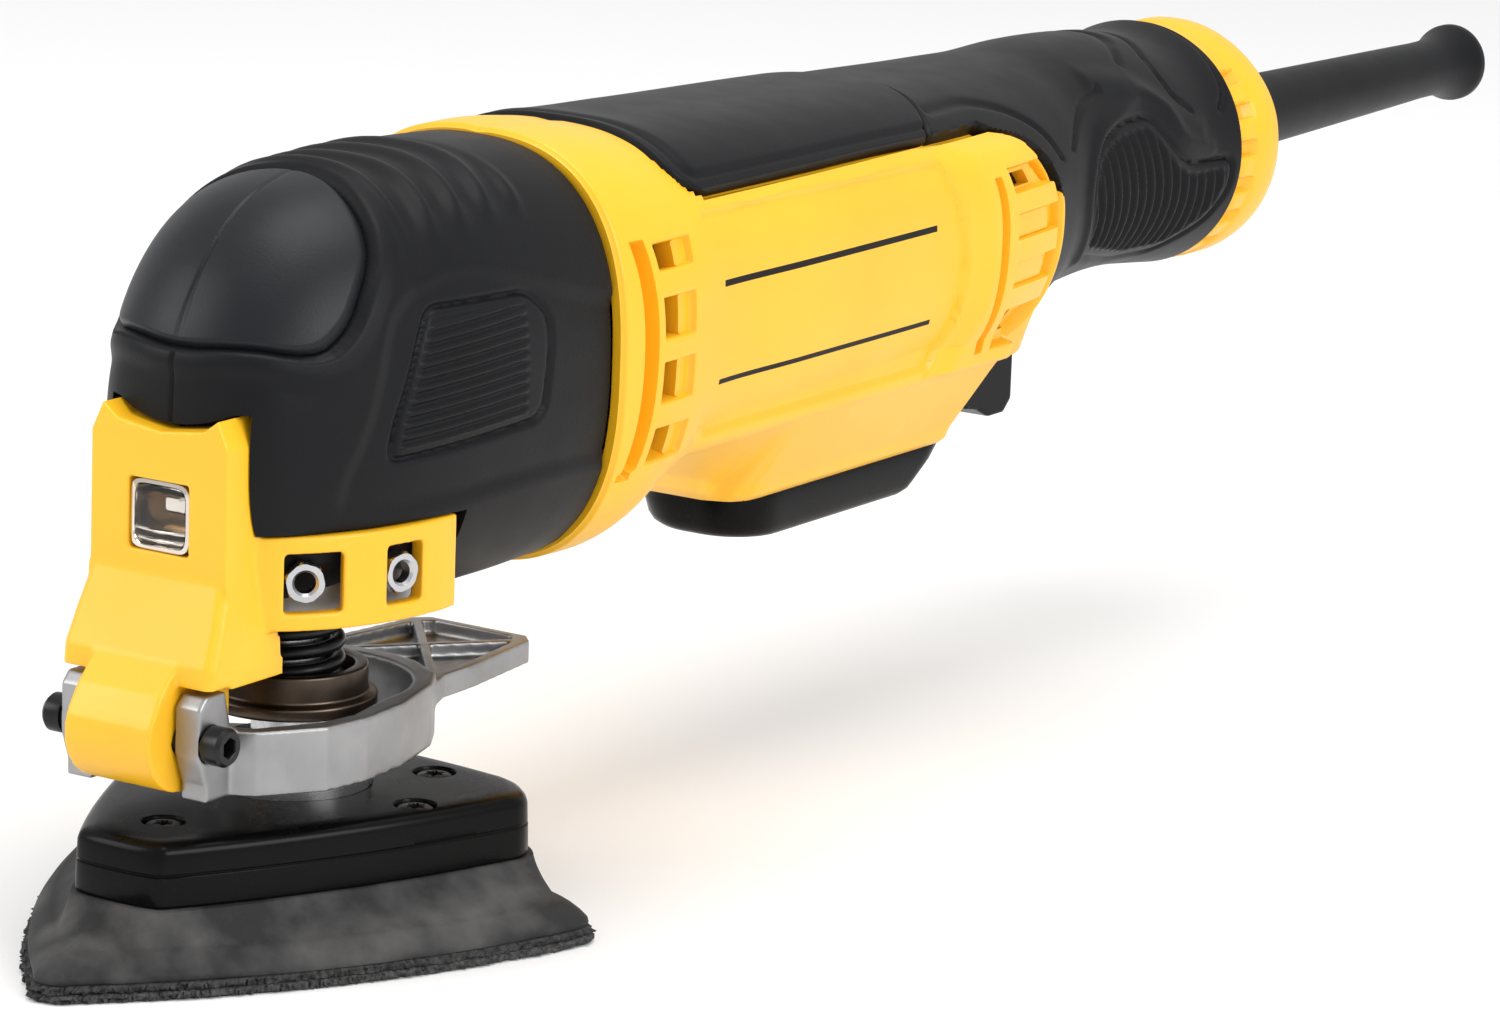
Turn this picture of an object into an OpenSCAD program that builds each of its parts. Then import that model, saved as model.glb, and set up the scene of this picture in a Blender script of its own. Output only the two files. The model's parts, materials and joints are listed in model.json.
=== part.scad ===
// Corded oscillating tool with a squeeze-lever clamp and a delta sanding pad.
// Frame: origin on the spindle axis at the sanding face, +Z up, nose towards -Y, cord end towards +Y.

/* [Body] */
// Height of the motor axis above the sanding face
axis_h = 88; // [87:0.5:89]
// Half width of the casing beside the motor
body_half_w = 29; // [28:0.5:31]
// Wall thickness of the casing halves
wall = 2.6; // [2.2:0.2:3]
// Y of the seam between the rubber boot and the casing
seam_y = 46; // [45:0.5:48]
// Thickness of the rubber boot
boot_wall = 3; // [2.4:0.2:3.4]

/* [Rear handle] */
// Y where the rear rubber grip starts
grip_y = 192; // [190:1:196]
// Y of the front of the end cap
cap_y = 257; // [256:1:260]
// Y of the back of the end cap
cap_end_y = 273; // [271:1:275]
// Outer radius of the end cap
cap_r = 22.9; // [22.7:0.1:23.4]

/* [Cord guard] */
// Y of the cord guard's free end
guard_end_y = 385; // [375:1:390]
// Radius of the cord guard beside the end cap
guard_root_r = 7.4; // [7:0.1:8]
// Radius of the cord guard before its flare
guard_neck_r = 5.6; // [5.2:0.1:6]
// Radius of the flared end
guard_flare_r = 7.6; // [7:0.1:8]
// Radius of the cord passage
cord_bore_r = 3.6; // [3:0.1:4]

/* [Front bracket] */
// Half width of the light column
column_half_w = 12.8; // [12.4:0.2:13.4]
// Y of the column's front face
column_front_y = -33.6; // [-34.2:0.2:-33]
// Height of the light window's centre
window_z = 69; // [68:0.5:70]
// Half width across the side arms
arm_half_w = 26; // [25.6:0.1:26.4]
// Bottom of the side arms
arm_z = 52; // [51.6:0.1:52.4]
// Height of the side arms
arm_h = 14.5; // [14:0.5:15]

/* [Clamp lever] */
// Y of the lever's hinge axis
hinge_y = -37; // [-37.5:0.1:-36.5]
// Height of the lever's hinge axis
hinge_z = 37; // [36.5:0.1:37.5]
// Radius of the hinge screws
hinge_screw_r = 2.5; // [2:0.1:2.8]
// Half width of the lever's ring at the collar
ring_r = 22; // [21.5:0.5:22.5]
// Y of the lever's free end
lever_end_y = 50; // [46:1:52]

/* [Spindle] */
// Radius of the spindle
spindle_r = 6; // [5.5:0.1:6.3]
// Radius of the clamp collar
collar_r = 12; // [11.6:0.2:12.4]
// Offset of the eccentric that rocks the fork
eccentric_offset = 0.45; // [0.4:0.05:0.5]

/* [Sanding pad] */
// Half width of the pad at its rear corners
pad_half_w = 46.5; // [45:0.5:48]
// Y of the pad's blunt tip
pad_tip_y = -60; // [-61:0.5:-59]
// Y of the pad's rear corners
pad_rear_y = 20.5; // [20:0.5:21.5]
// Height of the hard block's top
block_top = 21.5; // [21:0.1:21.8]

/* [Trigger] */
// Half width of the trigger paddle
trigger_half_w = 12.4; // [11.5:0.1:12.6]
// Y of the trigger's hinge pin
trigger_pin_y = 114; // [113:0.5:115]

/* [Hidden] */
$fn = 36;

yellow = [0.98, 0.72, 0.08];
black = [0.12, 0.12, 0.13];
steel = [0.72, 0.73, 0.75];
bronze = [0.33, 0.29, 0.25];
copper = [0.75, 0.42, 0.2];

ring_points = 32;   // points round each casing section
fit_gap = 0.1;      // gap between a bearing and its seat
run_gap = 0.04;     // radial clearance of a running fit

// Sections of the head and the casing: [y, half width, top, bottom, squareness].
head_sections = [
    [-30.4, 6.5, 91, 68, 2.3],
    [-29.2, 11, 94.6, 62, 2.3],
    [-26.6, 15, 99.6, 58, 2.3],
    [-22, 18.6, 106.2, 54, 2.3],
    [-17, 21.4, 111, 52, 2.3],
    [-11, 24, 114.4, 50, 2.35],
    [-3, 26.3, 116.6, 49.4, 2.4],
    [7, 27.8, 117.6, 49, 2.5],
    [20, 28.6, 118, 49, 2.5],
    [34, 28.6, 117.8, 49, 2.5],
    [seam_y, 28.2, 117.2, 49.4, 2.5]];
casing_sections = [
    [seam_y, 29.2, 118.2, 48.6, 2.6],
    [56, body_half_w + 1, 118, 49, 2.6],
    [66, body_half_w + 0.6, 116.8, 53, 2.7],
    [74, body_half_w, 115.8, 58, 2.9],
    [100, body_half_w, 114.4, 61, 3],
    [140, body_half_w - 0.4, 113, 62, 3],
    [166, body_half_w - 0.8, 112.2, 62.5, 2.8],
    [184, 26, 112, 65, 2.5],
    [200, 22.6, 112, 68.4, 2.3]];
handle_sections = [
    [grip_y, 24.4, 112, 66.8, 2.4],
    [200, 22.6, 112, 68.4, 2.3],
    [216, 21.4, 112.6, 69.8, 2.2],
    [236, 21.2, 111.8, 69.6, 2.1],
    [248, 21.3, 110.6, 68.4, 2.1],
    [cap_y, 22.3, 111.9, 67.3, 2]];

// ---- shared shapes -------------------------------------------------------------------------

function section(s, grow) = let(
        mid = (s[2] + s[3]) / 2,
        half = (s[2] - s[3]) / 2 + grow,
        bend = 2 / s[4])
    [for (i = [0:ring_points - 1]) let(c = cos(360 * i / ring_points), s1 = sin(360 * i / ring_points))
        [(s[1] + grow) * sign(c) * pow(abs(c), bend), s[0], mid + half * sign(s1) * pow(abs(s1), bend)]];

// A closed skin through a list of sections, grown outwards or, with a negative number, inwards.
module loft(sections, grow = 0) {
    rows = [for (s = sections) section(s, grow)];
    last = len(rows) - 1;
    sides = [for (j = [0:last - 1], i = [0:ring_points - 1]) let(
            a = j * ring_points + i,
            b = j * ring_points + (i + 1) % ring_points)
        each [[a, b, a + ring_points], [b, b + ring_points, a + ring_points]]];
    front = [for (i = [ring_points - 1:-1:0]) i];
    back = [for (i = [0:ring_points - 1]) last * ring_points + i];
    polyhedron([for (r = rows) each r], concat([front], sides, [back]), convexity = 8);
}

// One closed mesh out of a set of curved cuts.
module as_skin() {
    resize([0, 0, 0]) children();
}

module box(low, high) {
    translate(low) cube(high - low);
}

// A cylinder along Y from y0 to y1 at height z.
module y_rod(r, y0, y1, z = axis_h, x = 0) {
    translate([x, y0, z]) rotate([-90, 0, 0]) cylinder(r = r, h = y1 - y0);
}

// A cylinder along X from x0 to x1.
module x_rod(r, x0, x1, y, z) {
    translate([x0, y, z]) rotate([0, 90, 0]) cylinder(r = r, h = x1 - x0);
}

// A cylinder along Z from z0 to z1.
module z_rod(r, z0, z1, x = 0, y = 0) {
    translate([x, y, z0]) cylinder(r = r, h = z1 - z0);
}

module both_sides() {
    children();
    mirror([1, 0, 0]) children();
}

// A ball bearing: two races and a shielded ring between them, as one solid.
module bearing(outer, bore, width) {
    race = (outer - bore) * 0.28;
    shield_depth = 0.4;
    rotate_extrude() polygon([
        [bore, 0], [bore + race, 0], [bore + race, shield_depth], [outer - race, shield_depth],
        [outer - race, 0], [outer, 0], [outer, width], [outer - race, width],
        [outer - race, width - shield_depth], [bore + race, width - shield_depth],
        [bore + race, width], [bore, width]]);
}

// ---- casing ---------------------------------------------------------------------------------

shroud_bottom = 48.8;
shroud_y0 = 74;
shroud_y1 = 177;
shroud_half_w = 14.4;
chamber_y0 = 107.5;     // front of the trigger chamber
chamber_top = 58.6;
trigger_pin_z = 53;

// The flared skirt under the casing that the trigger works in.
shroud_front = 103;
shroud_nose_r = 8;
ramp_bottom = 55.6;

// The trigger shroud: a rounded nose round the front of the trigger and a ramp up to the barrel.
module shroud() {
    r = 5;
    hull() for (x = [-1, 1]) {
        z_rod(shroud_nose_r, shroud_bottom, shroud_bottom + 3,
            x * (shroud_half_w - shroud_nose_r), shroud_front + shroud_nose_r);
        z_rod(r, shroud_bottom, shroud_bottom + 3, x * (shroud_half_w - r), shroud_y1 - r);
        z_rod(r, ramp_bottom, 66, x * (shroud_half_w - r), shroud_y0 + r);
        for (y = [shroud_y0 - 4 + r, shroud_y1 - r])
            z_rod(r, 66, 70, x * (body_half_w - 4 - r), y);
    }
}

lock_y = 195;
lock_travel = 3;
boss_bottom = 59;

module casing_outside() {
    loft(barrel_sections);
    shroud();
    hull() {
        box([-9, 172, boss_bottom], [9, 204, boss_bottom + 3]);
        box([-13, 170, 70], [13, 205, 72]);
    }
}

// Side vents by the fan, and the louvre windows at the rear bulge.
module vents() {
    vent_x = body_half_w - 6;
    for (z = [68.5, 78.5, 88.5, 98.5])
        box([vent_x, 56.5, z - 2], [vent_x + 12, 63.5, z + 2]);
    box([vent_x, 48.4, 66], [vent_x + 12, 50, 103]);
    for (z = [72, 78, 84, 90, 96])
        box([vent_x - 6, 166, z - 1.6], [vent_x + 12, 177, z + 1.6]);
}

label_depth = 0.8;
stator_y0 = 84;
stator_y1 = 124;
stator_r = 22.4;
rear_bearing_y = 150;

// Walls inside the casing that hold the stator and the rear bearing.
module inner_walls() {
    intersection() {
        loft(casing_sections, -wall + 0.4);
        union() {
            for (y = [stator_y0 + 3, stator_y1 - 6])
                box([-40, y, 40], [40, y + 3, 130]);
            box([-40, rear_bearing_y - 1, 40], [40, rear_bearing_y + 7, 130]);
        }
    }
}

// Casing screws: [y, z, half length].
screw_places = [[79, 60.6, 16], [168, 64.4, 14], [198, 96, 15], [228, 83, 12]];
screw_r = 1.5;

module screw_bosses() {
    for (p = screw_places)
        x_rod(3.4, -p[2], p[2], p[0], p[1]);
}

core_end_y = cap_y + 5;
grip_wall = 2.6;    // thickness of the rear grip

function shrunk(sections, d) = [for (s = sections) [s[0], s[1] - d, s[2] - d, s[3] + d, s[4]]];

// The barrel, stepped down under the rear grip and ending inside the end cap.
core_sections = concat(
    shrunk([for (s = handle_sections) if (s[0] > grip_y) s], grip_wall),
    [[core_end_y, 18.4, 108, 71.2, 2]]);
barrel_sections = concat(
    [for (s = casing_sections) if (s[0] < grip_y) s],
    [handle_sections[0]],
    [for (s = shrunk([handle_sections[0]], grip_wall)) [s[0] + 0.1, s[1], s[2], s[3], s[4]]],
    core_sections);
cavity_sections = concat(
    [[seam_y - 1, 29.2, 118.2, 48.6, 2.6]],
    [for (s = casing_sections) if (s[0] > seam_y && s[0] < 180) s],
    [for (s = core_sections) if (s[0] < core_end_y) s],
    [[core_end_y + 1, 18.4, 108, 71.2, 2]]);

// The whole casing before it is split: barrel, shroud, lock boss and the core of the rear handle.
module casing() {
    difference() {
        union() {
            difference() {
                casing_outside();
                loft(cavity_sections, -wall);
            }
            difference() {
                inner_walls();
                y_rod(stator_r + fit_gap, stator_y0 - 1, stator_y1 + 1);
                y_rod(9.5 + fit_gap, rear_bearing_y - 2, rear_bearing_y + 6);
                y_rod(5, rear_bearing_y - 2, rear_bearing_y + 9);
            }
            screw_bosses();
        }
        // trigger chamber, switch opening and lock slot
        box([-12.9, chamber_y0, shroud_bottom - 1], [12.9, shroud_y1 - 1.6, chamber_top]);
        box([-8, 138, 58], [8, 166, 77.4]);
        box([-3.3, lock_y - 4.3 - lock_travel, boss_bottom - 1], [3.3, lock_y + 4.3, boss_bottom + 6]);
        both_sides() vents();
        top_grip_bed();
        both_sides() box([body_half_w - label_depth, 68, 69], [body_half_w + 3, 139, 103]);
        for (p = screw_places) {
            x_rod(screw_r + 0.2, -p[2], p[2] - 0.6, p[0], p[1]);
            x_rod(3.2, -40, 0.2 - p[2], p[0], p[1]);
        }
        x_rod(1.6, -16, 16, trigger_pin_y, trigger_pin_z);
    }
}

top_grip_low = 105;
grip_depth = 1.8;

// Room for the top grip: everything outside a smaller casing, above the grip's lower edge.
module top_grip_zone() {
    rotate([90, 0, 90]) translate([0, 0, -40]) linear_extrude(80)
        polygon([[78, top_grip_low - 1], [67, 111], [65, 130], [grip_y, 130], [grip_y, 101],
            [176, 104], [160, top_grip_low]]);
}

module top_grip_bed() {
    difference() {
        top_grip_zone();
        loft(casing_sections, -grip_depth);
    }
}

module housing_left() {
    color(yellow) as_skin() intersection() {
        casing();
        box([0, 0, 0], [60, 400, 160]);
    }
}

module housing_right() {
    color(yellow) as_skin() intersection() {
        casing();
        box([-60, 0, 0], [0, 400, 160]);
    }
}

module top_grip() {
    color(black) as_skin() intersection() {
        difference() {
            loft(casing_sections, 0.5);
            loft(casing_sections, -grip_depth + 0.05);
        }
        top_grip_zone();
    }
}

module rear_grip() {
    inside = shrunk(handle_sections, grip_wall - 0.05);
    first = inside[0];
    last = inside[len(inside) - 1];
    color(black) as_skin() difference() {
        loft(handle_sections);
        loft(concat([[grip_y - 1, first[1], first[2], first[3], first[4]]], inside,
            [[cap_y + 1, last[1], last[2], last[3], last[4]]]));
        box([-13.2, grip_y - 1, 50], [13.2, 205.2, 72.2]);
    }
}

module housing_screws() {
    color(steel) for (p = screw_places) difference() {
        union() {
            x_rod(screw_r, 0.2 - p[2], p[2] - 1, p[0], p[1]);
            x_rod(2.8, -p[2] - 2.2, 0.2 - p[2], p[0], p[1]);
        }
        translate([-p[2] - 2.3, p[0], p[1]]) rotate([0, 90, 0]) cylinder(r = 1.4, h = 1.2, $fn = 6);
    }
}

cap_z = axis_h + 1.6;

cap_bore_r = 20;

module end_cap() {
    notch = 2.4;
    color(yellow) difference() {
        translate([0, 0, cap_z]) rotate([-90, 0, 0]) rotate_extrude() polygon([
            [cap_bore_r, cap_y + 0.3], [cap_r - 0.6, cap_y + 0.3], [cap_r, cap_y + 1.5],
            [cap_r, cap_end_y - 3], [cap_r - 1.4, cap_end_y - 0.8], [cap_r - 3, cap_end_y],
            [guard_root_r + 0.3, cap_end_y], [guard_root_r + 0.3, cap_end_y - 6],
            [cap_bore_r, cap_end_y - 6]]);
        for (a = [-60, -35, -10, 15, 40], side = [0, 180])
            translate([0, cap_y - 0.1, cap_z]) rotate([0, -a + side, 0])
                box([cap_r - 1.6, 0, -notch / 2], [cap_r + 2, 7, notch / 2]);
    }
}

module cord_guard() {
    flange_y = core_end_y + 0.2;
    color(black) translate([0, 0, cap_z]) rotate([-90, 0, 0]) rotate_extrude() polygon([
        [cord_bore_r, flange_y], [12, flange_y], [12, cap_end_y - 6.2],
        [guard_root_r, cap_end_y - 6.2], [guard_root_r, cap_end_y + 12],
        [guard_neck_r, guard_end_y - 14], [guard_neck_r + 0.3, guard_end_y - 9],
        [guard_flare_r, guard_end_y - 4.5], [guard_flare_r, guard_end_y - 1.2],
        [guard_flare_r - 1, guard_end_y], [cord_bore_r, guard_end_y]]);
}

// ---- head -----------------------------------------------------------------------------------

neck_y = 3;             // centre of the oval neck that the bracket wraps
neck_half_w = 22.8;
neck_half_l = 30.4;
neck_top = 66.8;
column_top = 82.6;

// The neck's oval outline, grown outwards.
module neck_oval(grow = 0, tail = 0) {
    steps = 60;
    polygon([for (i = [0:steps - 1]) let(a = 360 * i / steps)
        [(neck_half_w + grow) * cos(a), neck_y + (neck_half_l + grow) * sin(a) + (sin(a) > 0 ? tail : 0)]]);
}

// The head skin; its front is trimmed to the neck below neck_top and behind the light column.
module head_outside(grow = 0) {
    bed_half_w = column_half_w + 0.3;
    difference() {
        loft(head_sections, grow);
        difference() {
            union() {
                box([-50, -60, 30], [50, 9, neck_top]);
                box([-bed_half_w, -60, 30], [bed_half_w, 0, column_top + 2.8]);
            }
            translate([0, 0, 29]) linear_extrude(60) neck_oval(grow, 20);
        }
    }
}

crown_depth = 1.2;

// Outline of the inset crown pad, seen from above and in front.
module crown_zone() {
    translate([0, -8, 88]) rotate([42, 0, 0]) linear_extrude(60) hull() {
        translate([0, 12]) square([30, 10], center = true);
        for (x = [-1, 1])
            translate([x * 17, -6]) circle(4, $fn = 32);
    }
}

module head_boot() {
    color(black) as_skin() difference() {
        head_outside();
        translate([0, 0.2, 0]) head_inside();
        difference() {
            crown_zone();
            head_outside(-crown_depth);
        }
        z_rod(20.6, 30, 80);
        z_rod(27, 30, arm_z + 0.2);
        box([-50, -60, 30], [50, 12, arm_z + 0.2]);
    }
}

module head_inside() {
    loft([for (s = head_sections) [s[0] + (s[0] < -20 ? 2 * boot_wall : s[0] < seam_y ? boot_wall : 0.2),
        s[1] - boot_wall,
        s[2] - boot_wall, s[3] + boot_wall, s[4]]]);
}

module crown_pad() {
    color(black) as_skin() intersection() {
        difference() {
            head_outside(0.2);
            head_outside(-crown_depth + 0.05);
        }
        crown_zone();
    }
}

case_r = 20;
case_bottom = 52.6;
lower_bearing_z = 57;
upper_bearing_z = 97;
front_bearing_y = 34;

module gear_case() {
    flange = [40, 24.2, 112.6, 54.2, 2.5];
    color(steel) difference() {
        union() {
            z_rod(case_r, case_bottom, 94);
            z_rod(14, 93, 106);
            y_rod(18.6, 0, seam_y);
            rotate([90, 0, 0]) translate([0, 0, -seam_y]) linear_extrude(seam_y - flange[0])
                polygon([for (p = section(flange, 0)) [p[0], p[2]]]);
        }
        z_rod(14 + fit_gap, lower_bearing_z - 0.05, lower_bearing_z + 8.05);
        z_rod(12.4, case_bottom + 2, lower_bearing_z + 1);
        z_rod(spindle_r + 1, case_bottom - 1, case_bottom + 3);
        z_rod(15.6, lower_bearing_z + 8, upper_bearing_z - 0.05);
        z_rod(11 + fit_gap, upper_bearing_z - 0.1, upper_bearing_z + 7.05);
        y_rod(15.6, 0, front_bearing_y - 0.05);
        y_rod(11 + fit_gap, front_bearing_y - 0.1, front_bearing_y + 7.1);
        y_rod(8, front_bearing_y, seam_y + 1);
    }
}

// ---- front bracket --------------------------------------------------------------------------

window_half_w = 5.7;
window_half_h = 5.5;
knuckle_r = 8.2;
knuckle_half_w = 8;
arm_gap = 0.3;          // between the neck and the arms
arm_end_y = 7;
nut_r = 3.3;
nut_bore_r = 1.65;
// Arm openings: [angle about the neck's centre, half width, shift of the nut].
openings = [[-43, 4.6, -1.2], [-14, 3.6, -0.2]];

// The light column with its saddle-shaped top, seen from the front and pulled back along Y.
module column() {
    depth = 18;
    top = column_top;
    translate([0, column_front_y + depth, 0]) rotate([90, 0, 0]) linear_extrude(depth) difference() {
        polygon([[-column_half_w, top - 2], [-column_half_w + 2, top + 2.4], [-8, top + 0.4], [0, top - 0.6],
            [8, top + 0.4], [column_half_w - 2, top + 2.4], [column_half_w, top - 2], [column_half_w, 62],
            [14.4, 47.6], [14.4, 44.8], [knuckle_half_w, 44.8], [knuckle_half_w, 38],
            [-knuckle_half_w, 38], [-knuckle_half_w, 44.8], [-14.4, 44.8], [-14.4, 47.6],
            [-column_half_w, 62]]);
        translate([0, window_z]) square([2 * window_half_w, 2 * window_half_h], center = true);
    }
}

// Where an arm's opening sits: on the neck's oval at the given angle.
module at_opening(angle) {
    translate([(neck_half_w + arm_gap) * cos(angle), neck_y + (neck_half_l + arm_gap) * sin(angle),
        arm_z + arm_h / 2]) rotate([0, 0, angle]) children();
}

module front_bracket() {
    color(yellow) difference() {
        union() {
            difference() {
                column();
                translate([0, 0, 30]) linear_extrude(60) neck_oval(arm_gap);
                z_rod(24, 20, arm_z);
            }
            difference() {
                translate([0, 0, arm_z]) linear_extrude(arm_h) difference() {
                    neck_oval(arm_half_w - neck_half_w);
                    neck_oval(arm_gap);
                }
                box([-50, arm_end_y, arm_z - 1], [50, 60, arm_z + arm_h + 1]);
                box([-11, -40, arm_z - 1], [11, -20, arm_z + arm_h + 1]);
            }
            x_rod(knuckle_r, -knuckle_half_w, knuckle_half_w, hinge_y, hinge_z);
        }
        x_rod(hinge_screw_r + 0.05, -20, 20, hinge_y, hinge_z);
        both_sides() for (o = openings)
            at_opening(o[0]) box([-2, -o[1], -4.6], [12, o[1], 4.6]);
        both_sides() box([knuckle_half_w, -50, 20], [30, -26, 44.8]);
    }
}

module guide_nuts() {
    color(steel) both_sides() for (o = openings)
        at_opening(o[0]) translate([0.3, o[2], 0]) rotate([0, 90, 0]) difference() {
            cylinder(r = nut_r, h = 2.2, $fn = 6);
            translate([0, 0, -1]) cylinder(r = nut_bore_r, h = 5);
        }
}

module light_lens() {
    color([0.85, 0.88, 0.9]) box([-window_half_w + 0.1, column_front_y + 0.3, window_z - window_half_h + 0.1],
        [window_half_w - 0.1, column_front_y + 1.1, window_z + window_half_h - 0.1]);
}

module light_module() {
    color(steel) difference() {
        box([-window_half_w + 0.3, column_front_y + 1.2, window_z - window_half_h + 0.3],
            [window_half_w - 0.3, column_front_y + 3, window_z + window_half_h - 0.3]);
        translate([0, column_front_y + 1, window_z]) rotate([-90, 0, 0]) cylinder(r = 3.6, h = 1.2);
    }
    color("white") y_rod(1.6, column_front_y + 1.4, column_front_y + 2.4, window_z);
}

// ---- clamp lever ----------------------------------------------------------------------------

lever_low = 28;
lever_high = 38;
ring_bore_r = 18.8;
lug_in = 8.6;
lug_out = 13.2;
tail_low = 32.6;
tail_high = 36.4;
tail_half_w = 14.2;

// Both flanks and the mirrored half of an outline given as its right half from front to back.
module mirrored(half) {
    polygon(concat(half, [for (i = [len(half) - 1:-1:0]) [-half[i][0], half[i][1]]]));
}

// Tail outline from above, from the ring's flanks to the free end.
module tail_outline(inset = 0) {
    mirrored([[20 - inset, 4], [19.3 - inset, 10.5], [16 - inset, 16.4], [tail_half_w - inset, 21],
        [tail_half_w - 0.2 - inset, 29], [11.6 - inset, lever_end_y - 2.4 - inset],
        [9.4 - inset, lever_end_y - inset]]);
}

module clamp_lever() {
    pocket_floor = 34;
    color(steel) difference() {
        union() {
            translate([0, 0, lever_low]) linear_extrude(lever_high - lever_low)
                mirrored([[lug_out, -38], [lug_out, -32], [16.4, -30.3], [19.1, -26.4], [ring_r + 0.8, -20.8],
                    [ring_r + 2, -12.3], [ring_r + 1, -1.6], [ring_r - 2.6, 10.5], [15.8, 16.4], [9, 20.6],
                    [4, 21.8]]);
            translate([0, 0, tail_low]) linear_extrude(tail_high - tail_low) tail_outline();
            both_sides() rotate([90, 0, 90]) translate([0, 0, lug_in]) linear_extrude(lug_out - lug_in)
                polygon([[-30, lever_low], [-35, lever_low + 0.6], [-38.2, 31], [-39.6, 35], [-39.6, 42.6],
                    [-38, 44.4], [-33.4, 44.4], [-32, 39], [-30, lever_high]]);
        }
        z_rod(ring_bore_r, lever_low - 1, lever_high + 5);
        // room for the collar's flange between the flanks
        translate([0, 0, lever_low - 1]) linear_extrude(30)
            mirrored([[lug_in, -48], [lug_in, -30.5], [14.6, -28], [17.2, -23.6], [20, -18.6],
                [ring_r - 1, -12], [ring_bore_r, -1]]);
        x_rod(hinge_screw_r + 0.05, -30, 30, hinge_y, hinge_z);
        // triangular pockets between the crossed ribs of the tail
        translate([0, 0, pocket_floor]) linear_extrude(10) difference() {
            tail_outline(1.8);
            circle(ring_r + 1);
            for (s = [-1, 1])
                translate([0, 35]) rotate([0, 0, s * 40]) square([1.5, 60], center = true);
        }
    }
    // two pads that lift the collar
    color(steel) both_sides() box([11, -2.5, 30], [ring_bore_r + 1, 2.5, 33.2]);
}

module hinge_screws() {
    head_r = 3;
    head_l = 3.4;
    color(black) both_sides() difference() {
        union() {
            x_rod(hinge_screw_r, 1, lug_out + 0.2, hinge_y, hinge_z);
            x_rod(head_r, lug_out + 0.2, lug_out + 0.2 + head_l, hinge_y, hinge_z);
        }
        translate([lug_out + 2, hinge_y, hinge_z]) rotate([0, 90, 0]) cylinder(r = 1.6, h = 3, $fn = 6);
    }
}

collar_floor = 34;
collar_rim = 40.6;

module clamp_collar() {
    flange = collar_r + 1.5;
    color(bronze) rotate_extrude() polygon([
        [spindle_r + run_gap, collar_floor], [flange - 0.6, collar_floor], [flange, collar_floor + 0.6],
        [flange, collar_floor + 1.8], [collar_r, collar_floor + 2.2], [collar_r, collar_rim - 0.5],
        [collar_r - 0.5, collar_rim], [collar_r - 1.8, collar_rim], [collar_r - 2.1, collar_floor + 2.6],
        [spindle_r + run_gap, collar_floor + 2.6]]);
}

spring_steps = 16;      // rings per turn of a coil spring
spring_sides = 6;

// A coil spring of radius r along Z, its wire centred between z0 and z1.
module coil(r, wire_r, z0, z1, turns) {
    count = round(turns * spring_steps);
    rows = [for (i = [0:count]) let(a = 360 * i / spring_steps, z = z0 + (z1 - z0) * i / count)
        [for (k = [0:spring_sides - 1]) let(b = 360 * k / spring_sides, across = r + wire_r * cos(b))
            [across * cos(a), across * sin(a), z + wire_r * sin(b)]]];
    sides = [for (j = [0:count - 1], k = [0:spring_sides - 1]) let(
            a = j * spring_sides + k,
            b = j * spring_sides + (k + 1) % spring_sides)
        each [[a, b, a + spring_sides], [b, b + spring_sides, a + spring_sides]]];
    start = [for (k = [spring_sides - 1:-1:0]) k];
    finish = [for (k = [0:spring_sides - 1]) count * spring_sides + k];
    polyhedron([for (r = rows) each r], concat([start], sides, [finish]), convexity = 10);
}

// Coil spring between the collar's floor and the gear case.
module clamp_spring() {
    wire_r = 1.1;
    color(black) coil(spindle_r + 0.25 + wire_r, wire_r, collar_floor + 2.7 + wire_r,
        case_bottom - 0.1 - wire_r, 4.5);
}

// ---- spindle --------------------------------------------------------------------------------

flange_r = 13;
flange_top = 28;
pin_circle_r = 10;

module spindle() {
    color(steel) rotate_extrude() polygon([
        [0, flange_top - 4], [spindle_r, flange_top - 4], [spindle_r, upper_bearing_z - 0.5],
        [5, upper_bearing_z - 0.5], [5, upper_bearing_z + 6], [4.4, upper_bearing_z + 6.6],
        [0, upper_bearing_z + 6.6]]);
}

module clamp_flange() {
    color(steel) difference() {
        union() {
            rotate_extrude() polygon([[0, block_top], [flange_r, block_top], [flange_r, flange_top - 3],
                [flange_r - 2.4, flange_top], [0, flange_top]]);
            for (i = [0:5])
                rotate([0, 0, 60 * i]) z_rod(1.5, block_top - 1.6, block_top + 1, pin_circle_r);
        }
        z_rod(spindle_r, flange_top - 4, flange_top + 1);
        z_rod(3.6, block_top - 3, flange_top);
    }
}

module clamp_foot() {
    color(steel) union() {
        z_rod(3.5, block_top - 4.4, flange_top - 4.1);
        z_rod(6.5, block_top - 6.5, block_top - 4.4);
    }
}

fork_y = 18;
ecc_bearing_r = 8;
fork_gap = 1.3;

module fork() {
    inner = ecc_bearing_r + fork_gap;
    color(steel) difference() {
        union() {
            z_rod(10.8, 79, 95.5);
            both_sides() box([inner, 3, 84], [inner + 4, 23, 92]);
            both_sides() box([4, 3, 84], [inner + 1, 6.5, 92]);
        }
        z_rod(spindle_r, 78, 97);
        y_rod(ecc_bearing_r + 2, 11.2, 30);
    }
}

// ---- sanding pad ----------------------------------------------------------------------------

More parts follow.
